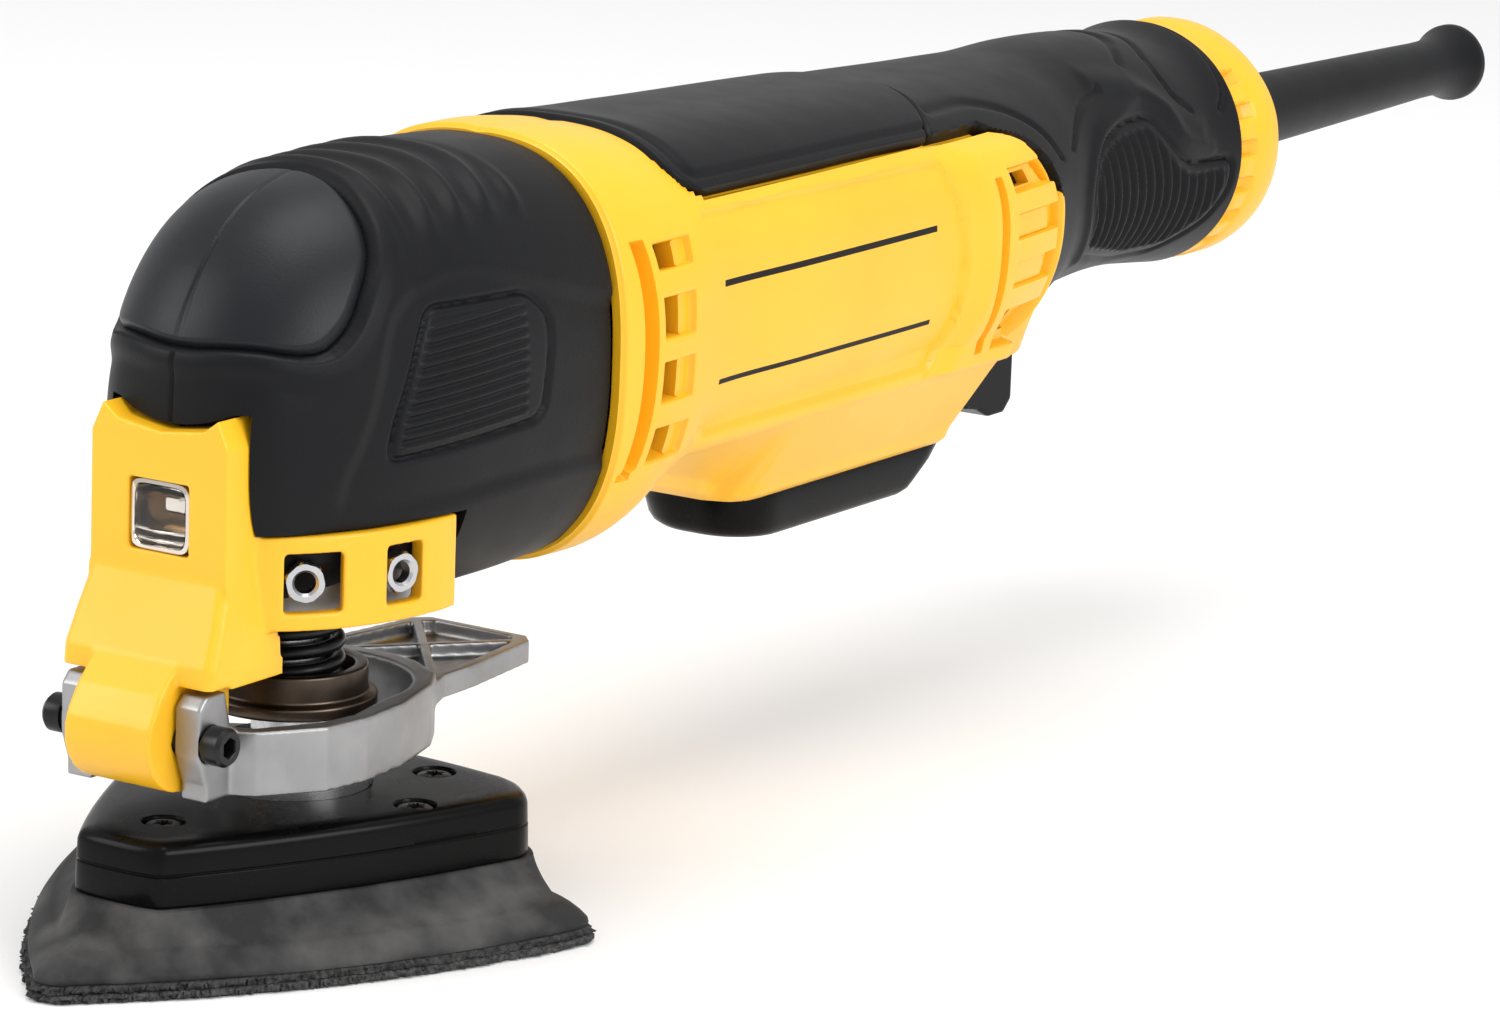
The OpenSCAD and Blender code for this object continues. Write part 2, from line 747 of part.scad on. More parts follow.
// A triangle with bowed sides, blunt front tip and clipped rear corners.
module delta(half_w, tip_y, rear_y, tip_half_w, bow = 6, corner = 3) {
    steps = 8;
    side = [for (i = [0:steps]) let(t = i / steps, out = bow * 4 * t * (1 - t))
        [tip_half_w + (half_w - tip_half_w) * t + out * 0.87,
            tip_y + corner / 2 + (rear_y - corner * 1.5 - tip_y) * t - out * 0.5]];
    rear = [for (i = [0:steps]) let(t = i / steps)
        [(half_w - corner) * (1 - 2 * t), rear_y + bow * 4 * t * (1 - t)]];
    polygon(concat([[tip_half_w - corner / 3, tip_y]], side, rear,
        [for (i = [steps:-1:0]) [-side[i][0], side[i][1]]], [[-tip_half_w + corner / 3, tip_y]]));
}

sheet_h = 1.2;
hook_top = 2.4;
flare_mid = 6;
flare_top = 11.5;
block_half_w = 34;
block_tip_y = -43;
block_rear_y = 23.5;
block_corner = 6;
block_bow = 2.4;

// The hard block's outline, grown outwards.
module block_outline(grow = 0) {
    delta(block_half_w + grow, block_tip_y - grow, block_rear_y + grow * 0.6, 9.5 + grow * 0.6,
        block_bow, block_corner);
}

// The sanding face's outline, grown outwards.
module pad_outline(grow = 0) {
    delta(pad_half_w + grow, pad_tip_y - grow, pad_rear_y + grow * 0.6, 3.4 + grow * 0.5, 6, 3);
}

module sanding_sheet() {
    color(black) linear_extrude(sheet_h) pad_outline();
}

module hook_layer() {
    color(black) translate([0, 0, sheet_h]) linear_extrude(hook_top - sheet_h) pad_outline(-0.8);
}

module pad_rubber() {
    slice = 0.5;
    color(black) union() {
        hull() {
            translate([0, 0, hook_top]) linear_extrude(slice) pad_outline(-0.8);
            translate([0, 0, flare_mid - slice]) linear_extrude(slice) pad_outline(-4.4);
        }
        hull() {
            translate([0, 0, flare_mid]) linear_extrude(slice) pad_outline(-5);
            translate([0, 0, flare_top - slice]) linear_extrude(slice) block_outline(0.8);
        }
    }
}

pad_screw_places = [[23.5, 1], [-23.5, 1], [14.8, 18], [-14.8, 18], [0, -31]];

module pad_block() {
    color(black) difference() {
        union() {
            translate([0, 0, flare_top]) linear_extrude(block_top - flare_top - 1)
                block_outline();
            translate([0, 0, block_top - 1]) linear_extrude(1) block_outline(-0.9);
        }
        z_rod(7, block_top - 7, block_top - 4.2);
        z_rod(3.7, block_top - 5, block_top + 1);
        for (i = [0:5])
            rotate([0, 0, 60 * i]) z_rod(1.6, block_top - 1.8, block_top + 1, pin_circle_r);
        for (p = pad_screw_places) {
            z_rod(3.2, block_top - 2, block_top + 1, p[0], p[1]);
            z_rod(1.6, flare_top - 1, block_top, p[0], p[1]);
        }
    }
}

module pad_screws() {
    color(black) for (p = pad_screw_places) difference() {
        union() {
            z_rod(3, block_top - 1.9, block_top - 0.2, p[0], p[1]);
            z_rod(1.5, flare_top + 0.4, block_top - 1, p[0], p[1]);
        }
        translate([p[0], p[1], block_top - 1.2]) cylinder(r = 1.3, h = 3, $fn = 6);
    }
}

// ---- gear case fittings ----------------------------------------------------------------------

module lower_spindle_bearing() {
    color(steel) translate([0, 0, lower_bearing_z]) bearing(14, spindle_r + run_gap, 8);
}

module upper_spindle_bearing() {
    color(steel) translate([0, 0, upper_bearing_z]) bearing(11, 5 + run_gap, 7);
}

module spindle_seal() {
    color(black) difference() {
        z_rod(12.2, case_bottom + 2.2, lower_bearing_z - 0.3);
        z_rod(spindle_r + 0.4, case_bottom + 2, lower_bearing_z);
    }
}

shaft_r = 4;

module front_motor_bearing() {
    color(steel) translate([0, front_bearing_y, axis_h]) rotate([-90, 0, 0])
        bearing(11, shaft_r + run_gap, 7);
}

module rear_motor_bearing() {
    color(steel) translate([0, rear_bearing_y, axis_h]) rotate([-90, 0, 0])
        bearing(9.5, 3 + run_gap, 6);
}

// ---- motor -----------------------------------------------------------------------------------

armature_r = 12.5;
commutator_y = 134;

module motor_shaft() {
    color(steel) union() {
        y_rod(shaft_r, 24, rear_bearing_y - 1);
        y_rod(3, rear_bearing_y - 1, rear_bearing_y + 6.5);
    }
}

module armature_core() {
    slots = 12;
    color(steel) difference() {
        y_rod(armature_r, stator_y0, stator_y1);
        y_rod(shaft_r, stator_y0 - 1, stator_y1 + 1);
        for (i = [0:slots - 1])
            translate([0, 0, axis_h]) rotate([0, 360 / slots * i, 0])
                box([8.6, stator_y0 - 1, -0.9], [armature_r + 1, stator_y1 + 1, 0.9]);
    }
}

module armature_windings() {
    color(copper) for (y = [[stator_y0 - 6.5, stator_y0], [stator_y1, stator_y1 + 8]]) difference() {
        y_rod(11, y[0], y[1]);
        y_rod(shaft_r, y[0] - 1, y[1] + 1);
    }
}

module commutator() {
    bars = 24;
    color(copper) difference() {
        y_rod(9, commutator_y, commutator_y + 12);
        y_rod(shaft_r, commutator_y - 1, commutator_y + 13);
        for (i = [0:bars - 1])
            translate([0, 0, axis_h]) rotate([0, 360 / bars * i, 0])
                box([8.4, commutator_y + 1, -0.25], [10, commutator_y + 13, 0.25]);
    }
}

fan_y = 60;
fan_r = 21.5;

module cooling_fan() {
    blades = 13;
    color(black) difference() {
        union() {
            y_rod(7, fan_y - 6, fan_y + 10);
            y_rod(fan_r, fan_y + 8, fan_y + 10);
            for (i = [0:blades - 1])
                translate([0, 0, axis_h]) rotate([0, 360 / blades * i, 0])
                    box([6.5, fan_y, -0.7], [fan_r - 0.5, fan_y + 8.5, 0.7]);
        }
        y_rod(shaft_r, fan_y - 7, fan_y + 11);
    }
}

module counterweight() {
    color(steel) difference() {
        union() {
            y_rod(7.5, 25.5, 33);
            intersection() {
                y_rod(14, 25.5, 32);
                box([-20, 20, axis_h - 20], [20, 40, axis_h]);
            }
        }
        y_rod(shaft_r, 24, 40);
    }
}

module eccentric() {
    color(steel) difference() {
        union() {
            y_rod(5, 14, 22.4, axis_h + eccentric_offset);
            y_rod(6.4, 22.4, 25.3);
        }
        y_rod(shaft_r, 24, 40);
    }
}

module eccentric_bearing() {
    color(steel) translate([0, fork_y - 3.4, axis_h + eccentric_offset]) rotate([-90, 0, 0])
        bearing(ecc_bearing_r, 5, 6.8);
}

coil_half_h = 12;

// Windows either side of the armature that the field coils pass through.
module coil_path(y0, y1, gap = 0) {
    intersection() {
        difference() {
            y_rod(20.5 - gap, y0, y1);
            y_rod(armature_r + 2.2 + gap, y0 - 1, y1 + 1);
        }
        both_sides() box([6, y0, axis_h - coil_half_h + gap], [30, y1, axis_h + coil_half_h - gap]);
    }
}

module stator_core() {
    color(steel) difference() {
        y_rod(stator_r, stator_y0, stator_y1);
        y_rod(armature_r + 0.6, stator_y0 - 1, stator_y1 + 1);
        coil_path(stator_y0 - 1, stator_y1 + 1);
    }
}

module stator_coils() {
    color(copper) coil_path(stator_y0 - 6, stator_y1 + 6, 0.2);
}

module fan_baffle() {
    color(black) difference() {
        y_rod(23.4, 73, 75);
        y_rod(15, 72, 76);
    }
}

brush_y = commutator_y + 6.5;

module brush_holders() {
    color(bronze) both_sides() difference() {
        box([10, brush_y - 4.5, axis_h - 5.5], [24, brush_y + 4.5, axis_h + 5.5]);
        box([9, brush_y - 3.1, axis_h - 4.1], [22.6, brush_y + 3.1, axis_h + 4.1]);
    }
}

module carbon_brushes() {
    color(black) both_sides() difference() {
        box([9, brush_y - 3, axis_h - 4], [17, brush_y + 3, axis_h + 4]);
        y_rod(9.15, brush_y - 5, brush_y + 5);
    }
}

module brush_springs() {
    color(steel) both_sides() difference() {
        x_rod(2.6, 17.1, 22.4, brush_y, axis_h);
        x_rod(1.8, 16, 23, brush_y, axis_h);
    }
}

// ---- switch and trigger ----------------------------------------------------------------------

trigger_low = 40.4;

// A long paddle under the shroud with a hinge eye at its front.
module trigger() {
    r = 4;
    nose_r = 8;
    y0 = chamber_y0 + 1;
    y1 = shroud_y1 - 3.4;
    color(black) difference() {
        union() {
            hull() {
                for (x = [-1, 1], end = [[nose_r, y0 + nose_r], [r, y1 - r]])
                    z_rod(end[0], 46, shroud_bottom + 1, x * (trigger_half_w - end[0]), end[1]);
                for (x = [-1, 1], end = [[nose_r, y0 + 1.5 + nose_r], [r, y1 - 8 - r]])
                    z_rod(end[0], trigger_low, 46, x * (trigger_half_w - 0.8 - end[0]), end[1]);
            }
            box([-9, trigger_pin_y - 3.6, 46], [9, trigger_pin_y + 3.6, trigger_pin_z]);
            x_rod(3.6, -9, 9, trigger_pin_y, trigger_pin_z);
            box([-4, 148, 46], [4, 158, 54]);
        }
        x_rod(1.5 + run_gap, -20, 20, trigger_pin_y, trigger_pin_z);
    }
}

module trigger_pin() {
    color(steel) x_rod(1.5, -15, 15, trigger_pin_y, trigger_pin_z);
}

module trigger_spring() {
    wire_r = 0.5;
    color(steel) translate([0, 130, 0])
        coil(3, wire_r, shroud_bottom + 1.1 + wire_r, chamber_top - 0.1 - wire_r, 4.5);
}

module lock_button() {
    color(black) union() {
        rotate([90, 0, 90]) translate([0, 0, -6.5]) linear_extrude(13)
            polygon([[lock_y - 9, 58.6], [lock_y - 9, 52], [lock_y - 6, 50.4], [lock_y - 2, 49.6],
                [lock_y + 2, 47.8], [lock_y + 7, 47.8], [lock_y + 9.5, 50], [lock_y + 9.5, 58.6]]);
        box([-3, lock_y - 4, 58], [3, lock_y + 4, boss_bottom + 5.6]);
    }
}

module switch_body() {
    color(black) union() {
        box([-7.6, 140, 66], [7.6, 164, 77]);
        box([-2, 150, 60], [2, 156, 66]);
    }
}

module control_board() {
    color([0.1, 0.4, 0.2]) box([-14, 162, 84], [14, 190, 85.6]);
    color(black) union() {
        box([-10, 166, 85.6], [4, 180, 92]);
        z_rod(3.6, 85.6, 93, 9, 184);
    }
}

module cord_clamp() {
    color(black) difference() {
        box([-12, 244, cap_z - 9], [12, 251, cap_z - cord_bore_r]);
        y_rod(cord_bore_r + 0.4, 240, 260, cap_z);
        for (x = [-9, 9])
            z_rod(1.6, cap_z - 12, cap_z, x, 247.5);
    }
}

module cord_clamp_screws() {
    color(steel) for (x = [-9, 9]) {
        z_rod(1.5, cap_z - 11.4, cap_z - cord_bore_r, x, 247.5);
        z_rod(2.6, cap_z - cord_bore_r, cap_z - cord_bore_r + 1.8, x, 247.5);
    }
}

housing_left();
housing_right();
head_boot();
crown_pad();
top_grip();
rear_grip();
end_cap();
cord_guard();
housing_screws();
front_bracket();
guide_nuts();
light_lens();
light_module();
clamp_lever();
hinge_screws();
clamp_collar();
clamp_spring();
spindle();
fork();
clamp_flange();
clamp_foot();
pad_block();
pad_screws();
pad_rubber();
hook_layer();
sanding_sheet();
gear_case();
lower_spindle_bearing();
upper_spindle_bearing();
spindle_seal();
front_motor_bearing();
motor_shaft();
armature_core();
armature_windings();
commutator();
cooling_fan();
counterweight();
eccentric();
eccentric_bearing();
stator_core();
stator_coils();
fan_baffle();
rear_motor_bearing();
brush_holders();
carbon_brushes();
brush_springs();
trigger();
trigger_pin();
trigger_spring();
lock_button();
switch_body();
control_board();
cord_clamp();
cord_clamp_screws();
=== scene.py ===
"""Looks of a corded oscillating sander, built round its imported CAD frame.

Shapes below are written in millimetres in the CAD frame and scaled to metres when a mesh is made.
"""

import json
import math

import bpy
import numpy as np
from mathutils import Matrix, Vector
from mathutils.bvhtree import BVHTree


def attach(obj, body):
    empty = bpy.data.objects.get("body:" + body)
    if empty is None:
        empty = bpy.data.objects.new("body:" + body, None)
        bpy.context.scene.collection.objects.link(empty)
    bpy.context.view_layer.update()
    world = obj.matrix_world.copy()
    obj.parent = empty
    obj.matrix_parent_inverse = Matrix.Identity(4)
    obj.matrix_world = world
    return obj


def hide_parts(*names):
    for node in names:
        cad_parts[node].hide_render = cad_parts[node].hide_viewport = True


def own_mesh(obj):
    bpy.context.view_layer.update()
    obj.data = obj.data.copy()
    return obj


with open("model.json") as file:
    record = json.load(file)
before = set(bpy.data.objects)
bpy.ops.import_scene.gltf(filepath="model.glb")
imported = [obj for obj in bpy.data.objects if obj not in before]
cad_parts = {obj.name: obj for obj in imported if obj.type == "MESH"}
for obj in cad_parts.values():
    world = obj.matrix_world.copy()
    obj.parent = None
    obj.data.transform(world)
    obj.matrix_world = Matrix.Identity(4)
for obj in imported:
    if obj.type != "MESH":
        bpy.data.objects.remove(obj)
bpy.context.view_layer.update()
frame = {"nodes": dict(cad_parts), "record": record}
nodes = frame["nodes"]
slot_of = {row["node"]: row["material_slot"] for row in frame["record"]["subparts"]}
FINISH = {}     # material by slot name
MM = 0.001
rng = np.random.default_rng(7)


# ---- numbers --------------------------------------------------------------------------------

def ease(a, b, v):
    """A smooth step from 0 at a to 1 at b."""
    t = np.clip((v - a) / (b - a), 0, 1)
    return t * t * (3 - 2 * t)


def spline(x, xs, ys):
    """Cubic through the points, with finite-difference slopes."""
    xs, ys, x = np.asarray(xs, float), np.asarray(ys, float), np.asarray(x, float)
    m = np.gradient(ys, xs)
    x = np.clip(x, xs[0], xs[-1])
    k = np.clip(np.searchsorted(xs, x) - 1, 0, len(xs) - 2)
    h = xs[k + 1] - xs[k]
    t = (x - xs[k]) / h
    return ((2 * t**3 - 3 * t**2 + 1) * ys[k] + (t**3 - 2 * t**2 + t) * h * m[k]
            + (-2 * t**3 + 3 * t**2) * ys[k + 1] + (t**3 - t**2) * h * m[k + 1])


def sdf(poly, u, v):
    """Signed distance to a closed polygon: negative inside."""
    poly = np.asarray(poly, float)
    best = np.full(u.shape, 1e9)
    inside = np.zeros(u.shape, bool)
    for a, b in zip(poly, np.roll(poly, -1, 0)):
        e, pu, pv = b - a, u - a[0], v - a[1]
        t = np.clip((pu * e[0] + pv * e[1]) / (e @ e), 0, 1)
        best = np.minimum(best, np.hypot(pu - t * e[0], pv - t * e[1]))
        cross = (a[1] > v) != (b[1] > v)
        with np.errstate(divide="ignore", invalid="ignore"):
            inside ^= cross & (u < e[0] * (v - a[1]) / e[1] + a[0])
    return np.where(inside, -best, best)


def rounded(poly, times=2):
    """Corners cut twice or more, so that a polygon's outline reads as a curve."""
    poly = np.asarray(poly, float)
    for _ in range(times):
        nxt = np.roll(poly, -1, 0)
        poly = np.stack([poly * 0.75 + nxt * 0.25, poly * 0.25 + nxt * 0.75], 1).reshape(-1, 2)
    return poly


def filleted(poly, radius, steps=6):
    """Each corner replaced by an arc that starts radius away from it."""
    out = []
    pts = [np.array(p, float) for p in poly]
    for i, p in enumerate(pts):
        before, after = pts[i - 1] - p, pts[(i + 1) % len(pts)] - p
        reach = min(radius, np.linalg.norm(before) * 0.48, np.linalg.norm(after) * 0.48)
        s, e = p + before / np.linalg.norm(before) * reach, p + after / np.linalg.norm(after) * reach
        for t in np.linspace(0, 1, steps + 1):
            out.append((1 - t) ** 2 * s + 2 * t * (1 - t) * p + t * t * e)
    return np.array(out)


def resample(poly, count):
    """count points evenly spaced along a closed outline."""
    closed = np.vstack([poly, poly[:1]])
    run = np.r_[0, np.cumsum(np.hypot(*np.diff(closed, axis=0).T))]
    at = np.linspace(0, run[-1], count, endpoint=False)
    return np.stack([np.interp(at, run, closed[:, k]) for k in (0, 1)], 1)


def around(count):
    """count angles evenly spaced round a circle."""
    return np.linspace(0, 2 * math.pi, count, endpoint=False)


def oval(a, half_w, half_h, n):
    """x and z of a squared-off ellipse at angle a."""
    c, s = np.cos(a), np.sin(a)
    return half_w * np.sign(c) * np.abs(c) ** (2 / n), half_h * np.sign(s) * np.abs(s) ** (2 / n)


def section_point(y, a, w, top, low, n):
    """A point at angle a of a cross-section between heights low and top."""
    x, z = oval(a, w, (top - low) / 2, n)
    return np.stack([x, y + 0 * x, (top + low) / 2 + z], -1)


def hexagon(radius, a):
    """Radius of a hexagon at angle a."""
    return radius * math.cos(math.pi / 6) / np.cos((a + math.pi / 6) % (math.pi / 3) - math.pi / 6)


def grid_normals(p, cyclic, at, axis):
    """Unit normals of a grid of points, turned so that the one at the given cell looks along +axis."""
    du = np.gradient(p, axis=0)
    dv = (np.roll(p, -1, 1) - np.roll(p, 1, 1)) / 2 if cyclic else np.gradient(p, axis=1)
    n = np.cross(du, dv)
    n = n / np.maximum(np.linalg.norm(n, axis=2, keepdims=True), 1e-9)
    return -n if n[at][axis] < 0 else n


# ---- meshes ---------------------------------------------------------------------------------

def mesh_object(name, verts, faces):
    """A linked object made of millimetre points."""
    mesh = bpy.data.meshes.new(name)
    mesh.from_pydata((np.asarray(verts, float) * MM).tolist(), [], [list(map(int, f)) for f in faces])
    obj = bpy.data.objects.new(name, mesh)
    bpy.context.scene.collection.objects.link(obj)
    return obj


def piece(name, verts, faces, node=None, body="housing", slot=None, finish=None, sharp=40, groups=None):
    """A named mesh that rides on a CAD body, in place of a CAD node unless it only adds to one."""
    slot = slot or slot_of[node]
    obj = mesh_object(name, verts, faces)
    mesh = obj.data
    mesh.validate()
    for m in finish or [FINISH[slot]]:
        mesh.materials.append(m)
    if groups is not None:
        mesh.polygons.foreach_set("material_index", np.asarray(groups, np.int32))
    shade(obj, sharp)
    return settle(obj, body, node)


def shade(obj, sharp):
    """Smooth shading that breaks at edges over sharp degrees."""
    obj.data.polygons.foreach_set("use_smooth", np.ones(len(obj.data.polygons), bool))
    obj.data.set_sharp_from_angle(angle=math.radians(sharp))
    obj.data.update()


def settle(obj, body, node):
    """obj on its body, in place of the CAD node it stands for."""
    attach(obj, body)
    if node:
        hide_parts(node)
    return obj


def turned_out(faces, verts):
    """Faces with their order reversed if the closed mesh has a negative volume."""
    v = np.asarray(verts)
    total = 0.0
    for f in faces:
        a = v[f[0]]
        for k in range(1, len(f) - 1):
            total += np.dot(a, np.cross(v[f[k]], v[f[k + 1]]))
    return faces if total > 0 else [f[::-1] for f in faces]


def slab_mesh(p, q, keep=None):
    """A closed wall between an outer grid p and an inner grid q. keep marks the cells that aren't holes."""
    ni, nj = p.shape[:2]
    idx = np.arange(ni * nj).reshape(ni, nj)
    if keep is None:
        keep = np.ones((ni - 1, nj - 1), bool)
    off = ni * nj
    a, b, c, d = idx[:-1, :-1], idx[1:, :-1], idx[1:, 1:], idx[:-1, 1:]
    outer = np.stack([a, b, c, d], 2)[keep]
    inner = np.stack([d, c, b, a], 2)[keep] + off
    pad = np.pad(keep, 1)
    walls = []
    for cell, near, e0, e1 in (
            (pad[1:-1, 1:-1], pad[:-2, 1:-1], d, a), (pad[1:-1, 1:-1], pad[2:, 1:-1], b, c),
            (pad[1:-1, 1:-1], pad[1:-1, :-2], a, b), (pad[1:-1, 1:-1], pad[1:-1, 2:], c, d)):
        rim = cell & ~near
        walls.append(np.stack([e1[rim], e0[rim], e0[rim] + off, e1[rim] + off], 1))
    faces = np.vstack([outer, inner] + walls)
    verts = np.vstack([p.reshape(-1, 3), q.reshape(-1, 3)])
    used = np.unique(faces)
    remap = np.zeros(len(verts), int)
    remap[used] = np.arange(len(used))
    return verts[used], remap[faces], len(outer)


def ring_mesh(rows, cyclic_rows=False):
    """A closed skin through rings of equal length; the two end rings are capped with a fan."""
    rows = np.asarray(rows, float)
    n, k = rows.shape[:2]
    idx = np.arange(n * k).reshape(n, k)
    a, b = idx[:-1], idx[1:]
    faces = np.stack([a, np.roll(a, -1, 1), np.roll(b, -1, 1), b], 2).reshape(-1, 4).tolist()
    verts = rows.reshape(-1, 3)
    if cyclic_rows:
        faces += np.stack([idx[-1], np.roll(idx[-1], -1), np.roll(idx[0], -1), idx[0]], 1).tolist()
    else:
        ends = np.stack([rows[0].mean(0), rows[-1].mean(0)])
        verts = np.vstack([verts, ends])
        for ring, hub, flip in ((idx[0], n * k, False), (idx[-1], n * k + 1, True)):
            for i in range(k):
                tri = [ring[i], hub, ring[(i + 1) % k]]
                faces.append(tri[::-1] if flip else tri)
    return verts, turned_out(faces, verts)


def lathe(profile, count, axis="z", at=(0, 0, 0), closed=True):
    """Rings round an axis through (radius, height) points. A radius may be an array, one for each angle."""
    angle = around(count)
    rows = []
    for r, h in profile:
        u, v, w = r * np.cos(angle), r * np.sin(angle), np.full(count, float(h))
        pts = {"z": (u, v, w), "y": (u, w, v), "x": (w, u, v)}[axis]
        rows.append(np.stack(pts, 1) + np.array(at, float))
    return ring_mesh(rows, cyclic_rows=closed)


def tube(points, radius, sides=12):
    """A closed round tube along a list of points."""
    pts = np.asarray(points, float)
    tangent = np.gradient(pts, axis=0)
    tangent /= np.linalg.norm(tangent, axis=1, keepdims=True)
    up = np.array([0.0, 0.0, 1.0]) if abs(tangent[0][2]) < 0.9 else np.array([1.0, 0, 0])
    rows = []
    for p, t in zip(pts, tangent):
        side = np.cross(t, up)
        side /= np.linalg.norm(side)
        up = np.cross(side, t)
        a = around(sides)[:, None]
        rows.append(p + radius * (np.cos(a) * side + np.sin(a) * up))
    return ring_mesh(rows)


def coil(radius, wire_r, low, high, sides, y=0.0, turns=4.5):
    """A compression spring along Z, its outer faces at low and high."""
    a = np.linspace(0, turns * 2 * math.pi, int(turns * 40))
    z = np.linspace(low + wire_r, high - wire_r, len(a))
    return tube(np.stack([radius * np.cos(a), y + radius * np.sin(a), z], 1), wire_r, sides)


def placed(mesh, flip, at):
    """A (verts, faces) mesh scaled by flip, moved to at and facing outwards."""
    verts = mesh[0] * flip + at
    return verts, turned_out(mesh[1], verts)


def stack(meshes):
    """Several (verts, faces) meshes as one."""
    verts, faces, off = [], [], 0
    for v, f in meshes:
        verts.append(np.asarray(v, float))
        faces += [[int(i) + off for i in face] for face in f]
        off += len(v)
    return np.vstack(verts), faces


def applied(obj, *modifiers):
    """obj's mesh after the given modifiers, each (type, settings)."""
    for i, (kind, settings) in enumerate(modifiers):
        m = obj.modifiers.new(f"m{i}", kind)
        for key, value in settings.items():
            setattr(m, key, value)
    graph = bpy.context.evaluated_depsgraph_get()
    mesh = bpy.data.meshes.new_from_object(obj.evaluated_get(graph))
    old = obj.data
    obj.modifiers.clear()
    obj.data = mesh
    bpy.data.meshes.remove(old)
    return obj


def moulded(name, node, body, voxel, passes, extra=()):
    """A CAD node's shape with every edge softly rounded, joined to any extra meshes."""
    src = nodes[node].data
    co = np.zeros(len(src.vertices) * 3)
    src.vertices.foreach_get("co", co)
    plain = (co.reshape(-1, 3) / MM, [list(f.vertices) for f in src.polygons])
    obj = mesh_object(name, *stack([plain, *extra]))
    applied(obj,
            ("REMESH", {"mode": "VOXEL", "voxel_size": voxel * MM, "adaptivity": 0.0}),
            ("SMOOTH", {"factor": 0.5, "iterations": passes}))
    obj.data.materials.clear()
    obj.data.materials.append(FINISH[slot_of[node]])
    shade(obj, 60)
    return settle(obj, body, node)


def cut(obj, verts, faces, sharp=40):
    """obj less the given shape."""
    tool = mesh_object("cutter", verts, faces)
    applied(obj, ("BOOLEAN", {"operation": "DIFFERENCE", "object": tool, "solver": "EXACT"}))
    bpy.data.objects.remove(tool)
    shade(obj, sharp)
    return obj


# ---- materials ------------------------------------------------------------------------------

def material(name, colour, rough, metal=0.0, spec=0.5, coat=0.0, coat_rough=0.2, second=None, mottle=60,
             mottle_span=(0.35, 0.65), rough_span=0.08, bump=(), clear=0.0, ior=1.5):
    """A procedural finish. bump lists layers of (cells per mm, height in mm) and, if any, a stretch."""
    m = bpy.data.materials.new(name)
    m.use_nodes = True
    tree = m.node_tree
    bsdf = tree.nodes["Principled BSDF"]
    place = tree.nodes.new("ShaderNodeTexCoord").outputs["Object"]
    for socket, value in (("Metallic", metal), ("Specular IOR Level", spec), ("Coat Weight", coat),
                          ("Coat Roughness", coat_rough), ("IOR", ior), ("Transmission Weight", clear)):
        bsdf.inputs[socket].default_value = value

    def noise(scale, detail=4.0, stretch=(1, 1, 1)):
        fit = tree.nodes.new("ShaderNodeMapping")
        fit.inputs["Scale"].default_value = stretch
        tree.links.new(place, fit.inputs["Vector"])
        n = tree.nodes.new("ShaderNodeTexNoise")
        n.inputs["Scale"].default_value = scale
        n.inputs["Detail"].default_value = detail
        tree.links.new(fit.outputs["Vector"], n.inputs["Vector"])
        return n.outputs["Fac"]

    ramp = tree.nodes.new("ShaderNodeValToRGB")
    second = second or tuple(c * 0.86 for c in colour)
    for stop, position, shade_of in zip(ramp.color_ramp.elements, mottle_span, (colour, second)):
        stop.position, stop.color = position, (*shade_of, 1)
    tree.links.new(noise(mottle), ramp.inputs["Fac"])
    tree.links.new(ramp.outputs["Color"], bsdf.inputs["Base Color"])

    span = tree.nodes.new("ShaderNodeMapRange")
    span.inputs["To Min"].default_value = rough - rough_span
    span.inputs["To Max"].default_value = rough + rough_span
    tree.links.new(noise(mottle * 4), span.inputs["Value"])
    tree.links.new(span.outputs["Result"], bsdf.inputs["Roughness"])

    normal = None
    for per_mm, height, *stretch in bump:
        b = tree.nodes.new("ShaderNodeBump")
        b.inputs["Strength"].default_value = 1.0
        b.inputs["Distance"].default_value = height * MM
        tree.links.new(noise(per_mm / MM, 2.0, *stretch), b.inputs["Height"])
        if normal:
            tree.links.new(normal, b.inputs["Normal"])
        normal = b.outputs["Normal"]
    if normal:
        tree.links.new(normal, bsdf.inputs["Normal"])
    FINISH[name] = m
    return m


yellow = material("yellow_plastic", (0.93, 0.495, 0.012), 0.40, second=(0.88, 0.45, 0.01), mottle=18,
                  coat=0.1, coat_rough=0.3, bump=[(2.2, 0.006)])
material("black_rubber", (0.003, 0.0032, 0.004), 0.46, spec=0.17, second=(0.0045, 0.0048, 0.006),
         mottle=35, rough_span=0.06, bump=[(2.4, 0.03), (0.25, 0.02)])
pad_skin = material("inset_rubber", (0.005, 0.0056, 0.008), 0.42, spec=0.27, second=(0.008, 0.009, 0.0115),
                    mottle=25, rough_span=0.06, bump=[(3.0, 0.02)])
material("black_plastic", (0.002, 0.002, 0.002), 0.28, spec=0.08, second=(0.003, 0.003, 0.003),
         mottle=40, coat=0.05, coat_rough=0.12, rough_span=0.05,
         bump=[(0.5, 0.006), (4, 0.003)])
material("pad_foam_rubber", (0.016, 0.016, 0.017), 0.7, spec=0.3, second=(0.09, 0.088, 0.085),
         mottle=90, mottle_span=(0.42, 0.74), rough_span=0.1, bump=[(3.2, 0.05), (0.8, 0.05)])
material("hook_fabric", (0.015, 0.015, 0.016), 0.9, second=(0.05, 0.05, 0.05), mottle=900,
         bump=[(2.6, 0.25)])
material("abrasive", (0.018, 0.018, 0.02), 0.85, second=(0.07, 0.068, 0.066), mottle=1400,
         bump=[(5.0, 0.12)])
